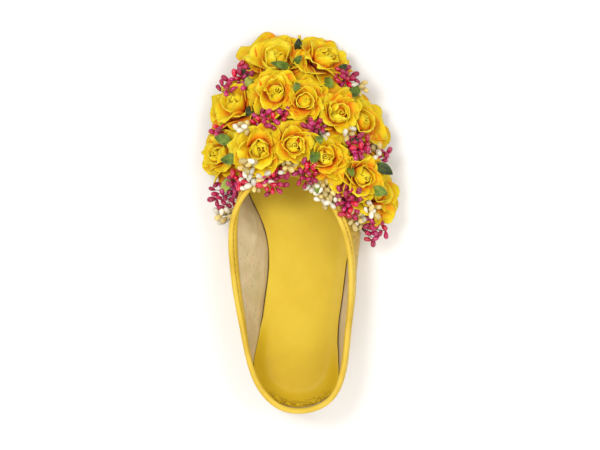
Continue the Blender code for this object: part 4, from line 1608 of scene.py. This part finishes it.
# %% Where the leaves lie, in millimetres and degrees
LEAF_COLUMNS = ("x", "y", "heading", "length", "width", "tone")
PLAIN_LEAVES = sorted(name for name in NODES if name.startswith("leaf_"))
LEAVES = (  # the first ones stand in for the plain leaves, in their order
    (-2.0, 214.0, 172, 17.0, 5.5, 0.45),
    (-46.0, 161.0, 160, 13.0, 8.0, 0.50),
    (56.0, 145.0, 340, 15.0, 8.0, 0.15),
    (37.0, 194.0, 40, 12.0, 7.0, 0.35),
    (0.5, 226.0, 88, 10.0, 5.5, 0.00),
    (-31.0, 213.0, 200, 11.0, 7.0, 0.00),
    (-31.0, 208.0, 230, 9.0, 6.0, 0.85),
    (-2.0, 215.0, 60, 10.0, 5.0, 0.40),
    (2.0, 203.5, 250, 8.0, 5.0, 0.60),
    (19.0, 206.5, 320, 10.0, 7.0, 0.60),
    (-32.0, 187.0, 240, 9.0, 5.0, 0.10),
    (-41.0, 149.0, 178, 13.0, 8.0, 0.50),
    (14.0, 155.5, 262, 12.0, 7.0, 0.45),
    (15.5, 166.5, 285, 8.0, 5.5, 0.55),
    (37.5, 144.5, 285, 9.0, 5.0, 0.55),
    (53.0, 128.0, 345, 13.0, 7.5, 0.60),
    (-47.0, 136.5, 245, 14.0, 7.0, 0.95),
    (14.0, 133.5, 276, 10.0, 4.5, 0.70),
    (44.0, 167.5, 250, 9.0, 6.0, 0.00),
    (30.0, 211.0, 50, 9.0, 5.0, 0.05),
)
print(len(LEAVES), "leaves,", len(PLAIN_LEAVES), "of them for plain ones")

# %% One leaf's rule
LEAF_SEED = 301
LEAF_FACES = (8, 12)
LEAF_WALL = 0.35
LEAF_WAVER = 8  # degrees that a leaf may point aside
LEAF_ROOT_SINK = 3.5 * MM
LEAF_TIP_RISE = 2.0 * MM
LEAF_TIP_DROP = 3 * MM  # how far its tip may hang under the highest place below it
LEAF_FEELERS = (0.35, 0.5, 0.65, 0.8)  # where along a leaf the bed under it is felt
LEAF_ARCH = (1.0, 2.5)
LEAF_PHASES = 6.0
LEAF_BELLY = 0.85  # under 1 its widest place lies nearer to the root
LEAF_BLUNT = 0.8  # under 1 it is fuller at its ends
LEAF_BEND = (0.25, 2.2)  # how far it bends aside, as a share of its half, and in how many radians
LEAF_FOLD = 0.45  # how high its sides stand over its rib, as a share of its half
LEAF_CRIMP = (0.35, 9)  # how high its sides are crimped, in millimetres, and in how many radians
LEAF_ENDS = 3  # how quickly fold and crimp begin at its ends


def leaf_rule(leaf, draw):
    """The rule that turns a flat grid into one leaf in its place."""
    heading = math.radians(leaf["heading"] + draw.uniform(-LEAF_WAVER, LEAF_WAVER))
    length, half = leaf["length"] * MM, leaf["width"] / 2 * MM
    way = np.array([math.cos(heading), math.sin(heading)])
    root = np.array([leaf["x"], leaf["y"]]) * MM
    tip = root + way * length
    root_z = crown(*root, LEAST_RISE) - LEAF_ROOT_SINK
    under = [crown(*(root + way * length * share), LEAST_RISE) for share in LEAF_FEELERS]
    tip_z = max(crown(*tip, LEAST_RISE), max(under) - LEAF_TIP_DROP) + LEAF_TIP_RISE
    arch = max(max(under) - (root_z + tip_z) / 2, 0) + draw.uniform(*LEAF_ARCH) * MM
    phase = draw.uniform(0, LEAF_PHASES)
    bend, bend_rate = LEAF_BEND
    crimp, crimp_rate = LEAF_CRIMP

    def rule(places):
        u, v = over(places)
        wide = np.sin(np.pi * np.clip(v, 0, 1) ** LEAF_BELLY) ** LEAF_BLUNT
        side = u * half * wide + half * bend * np.sin(bend_rate * v + phase) * v
        x, y = (root[k] + way[k] * length * v + (-way[1], way[0])[k] * side for k in (0, 1))
        z = root_z + (tip_z - root_z) * v + arch * np.sin(np.pi * v)
        fold = half * LEAF_FOLD + crimp * MM * np.sin(crimp_rate * v + phase)
        z += np.abs(u) * fold * np.minimum(LEAF_ENDS * wide, 1)
        return np.stack([x, y, z], axis=1)

    return rule


# %% The leaves
def leaf_piece(number, row):
    """One leaf, with both its ends drawn together and a thin wall."""
    leaf = dict(zip(LEAF_COLUMNS, row))
    rule = leaf_rule(leaf, random.Random(number + LEAF_SEED))
    piece = grown(flat_leaf, f"cloth_leaf_{number + 1:02d}", rule, leaf["tone"])
    with edit_mode(piece):
        bpy.ops.mesh.remove_doubles(threshold=WELD)
    modified(piece, "SOLIDIFY", thickness=LEAF_WALL * MM, offset=0.0)
    return finished(piece, "leaf_green", [LEAF], *PLAIN_LEAVES[number : number + 1])


flat_leaf = flat_sheet(LEAF_FACES)
leaves = [leaf_piece(number, row) for number, row in enumerate(LEAVES)]
removed(flat_leaf)
print(len(leaves), "leaves,", sum(triangles(leaf) for leaf in leaves), "triangles")
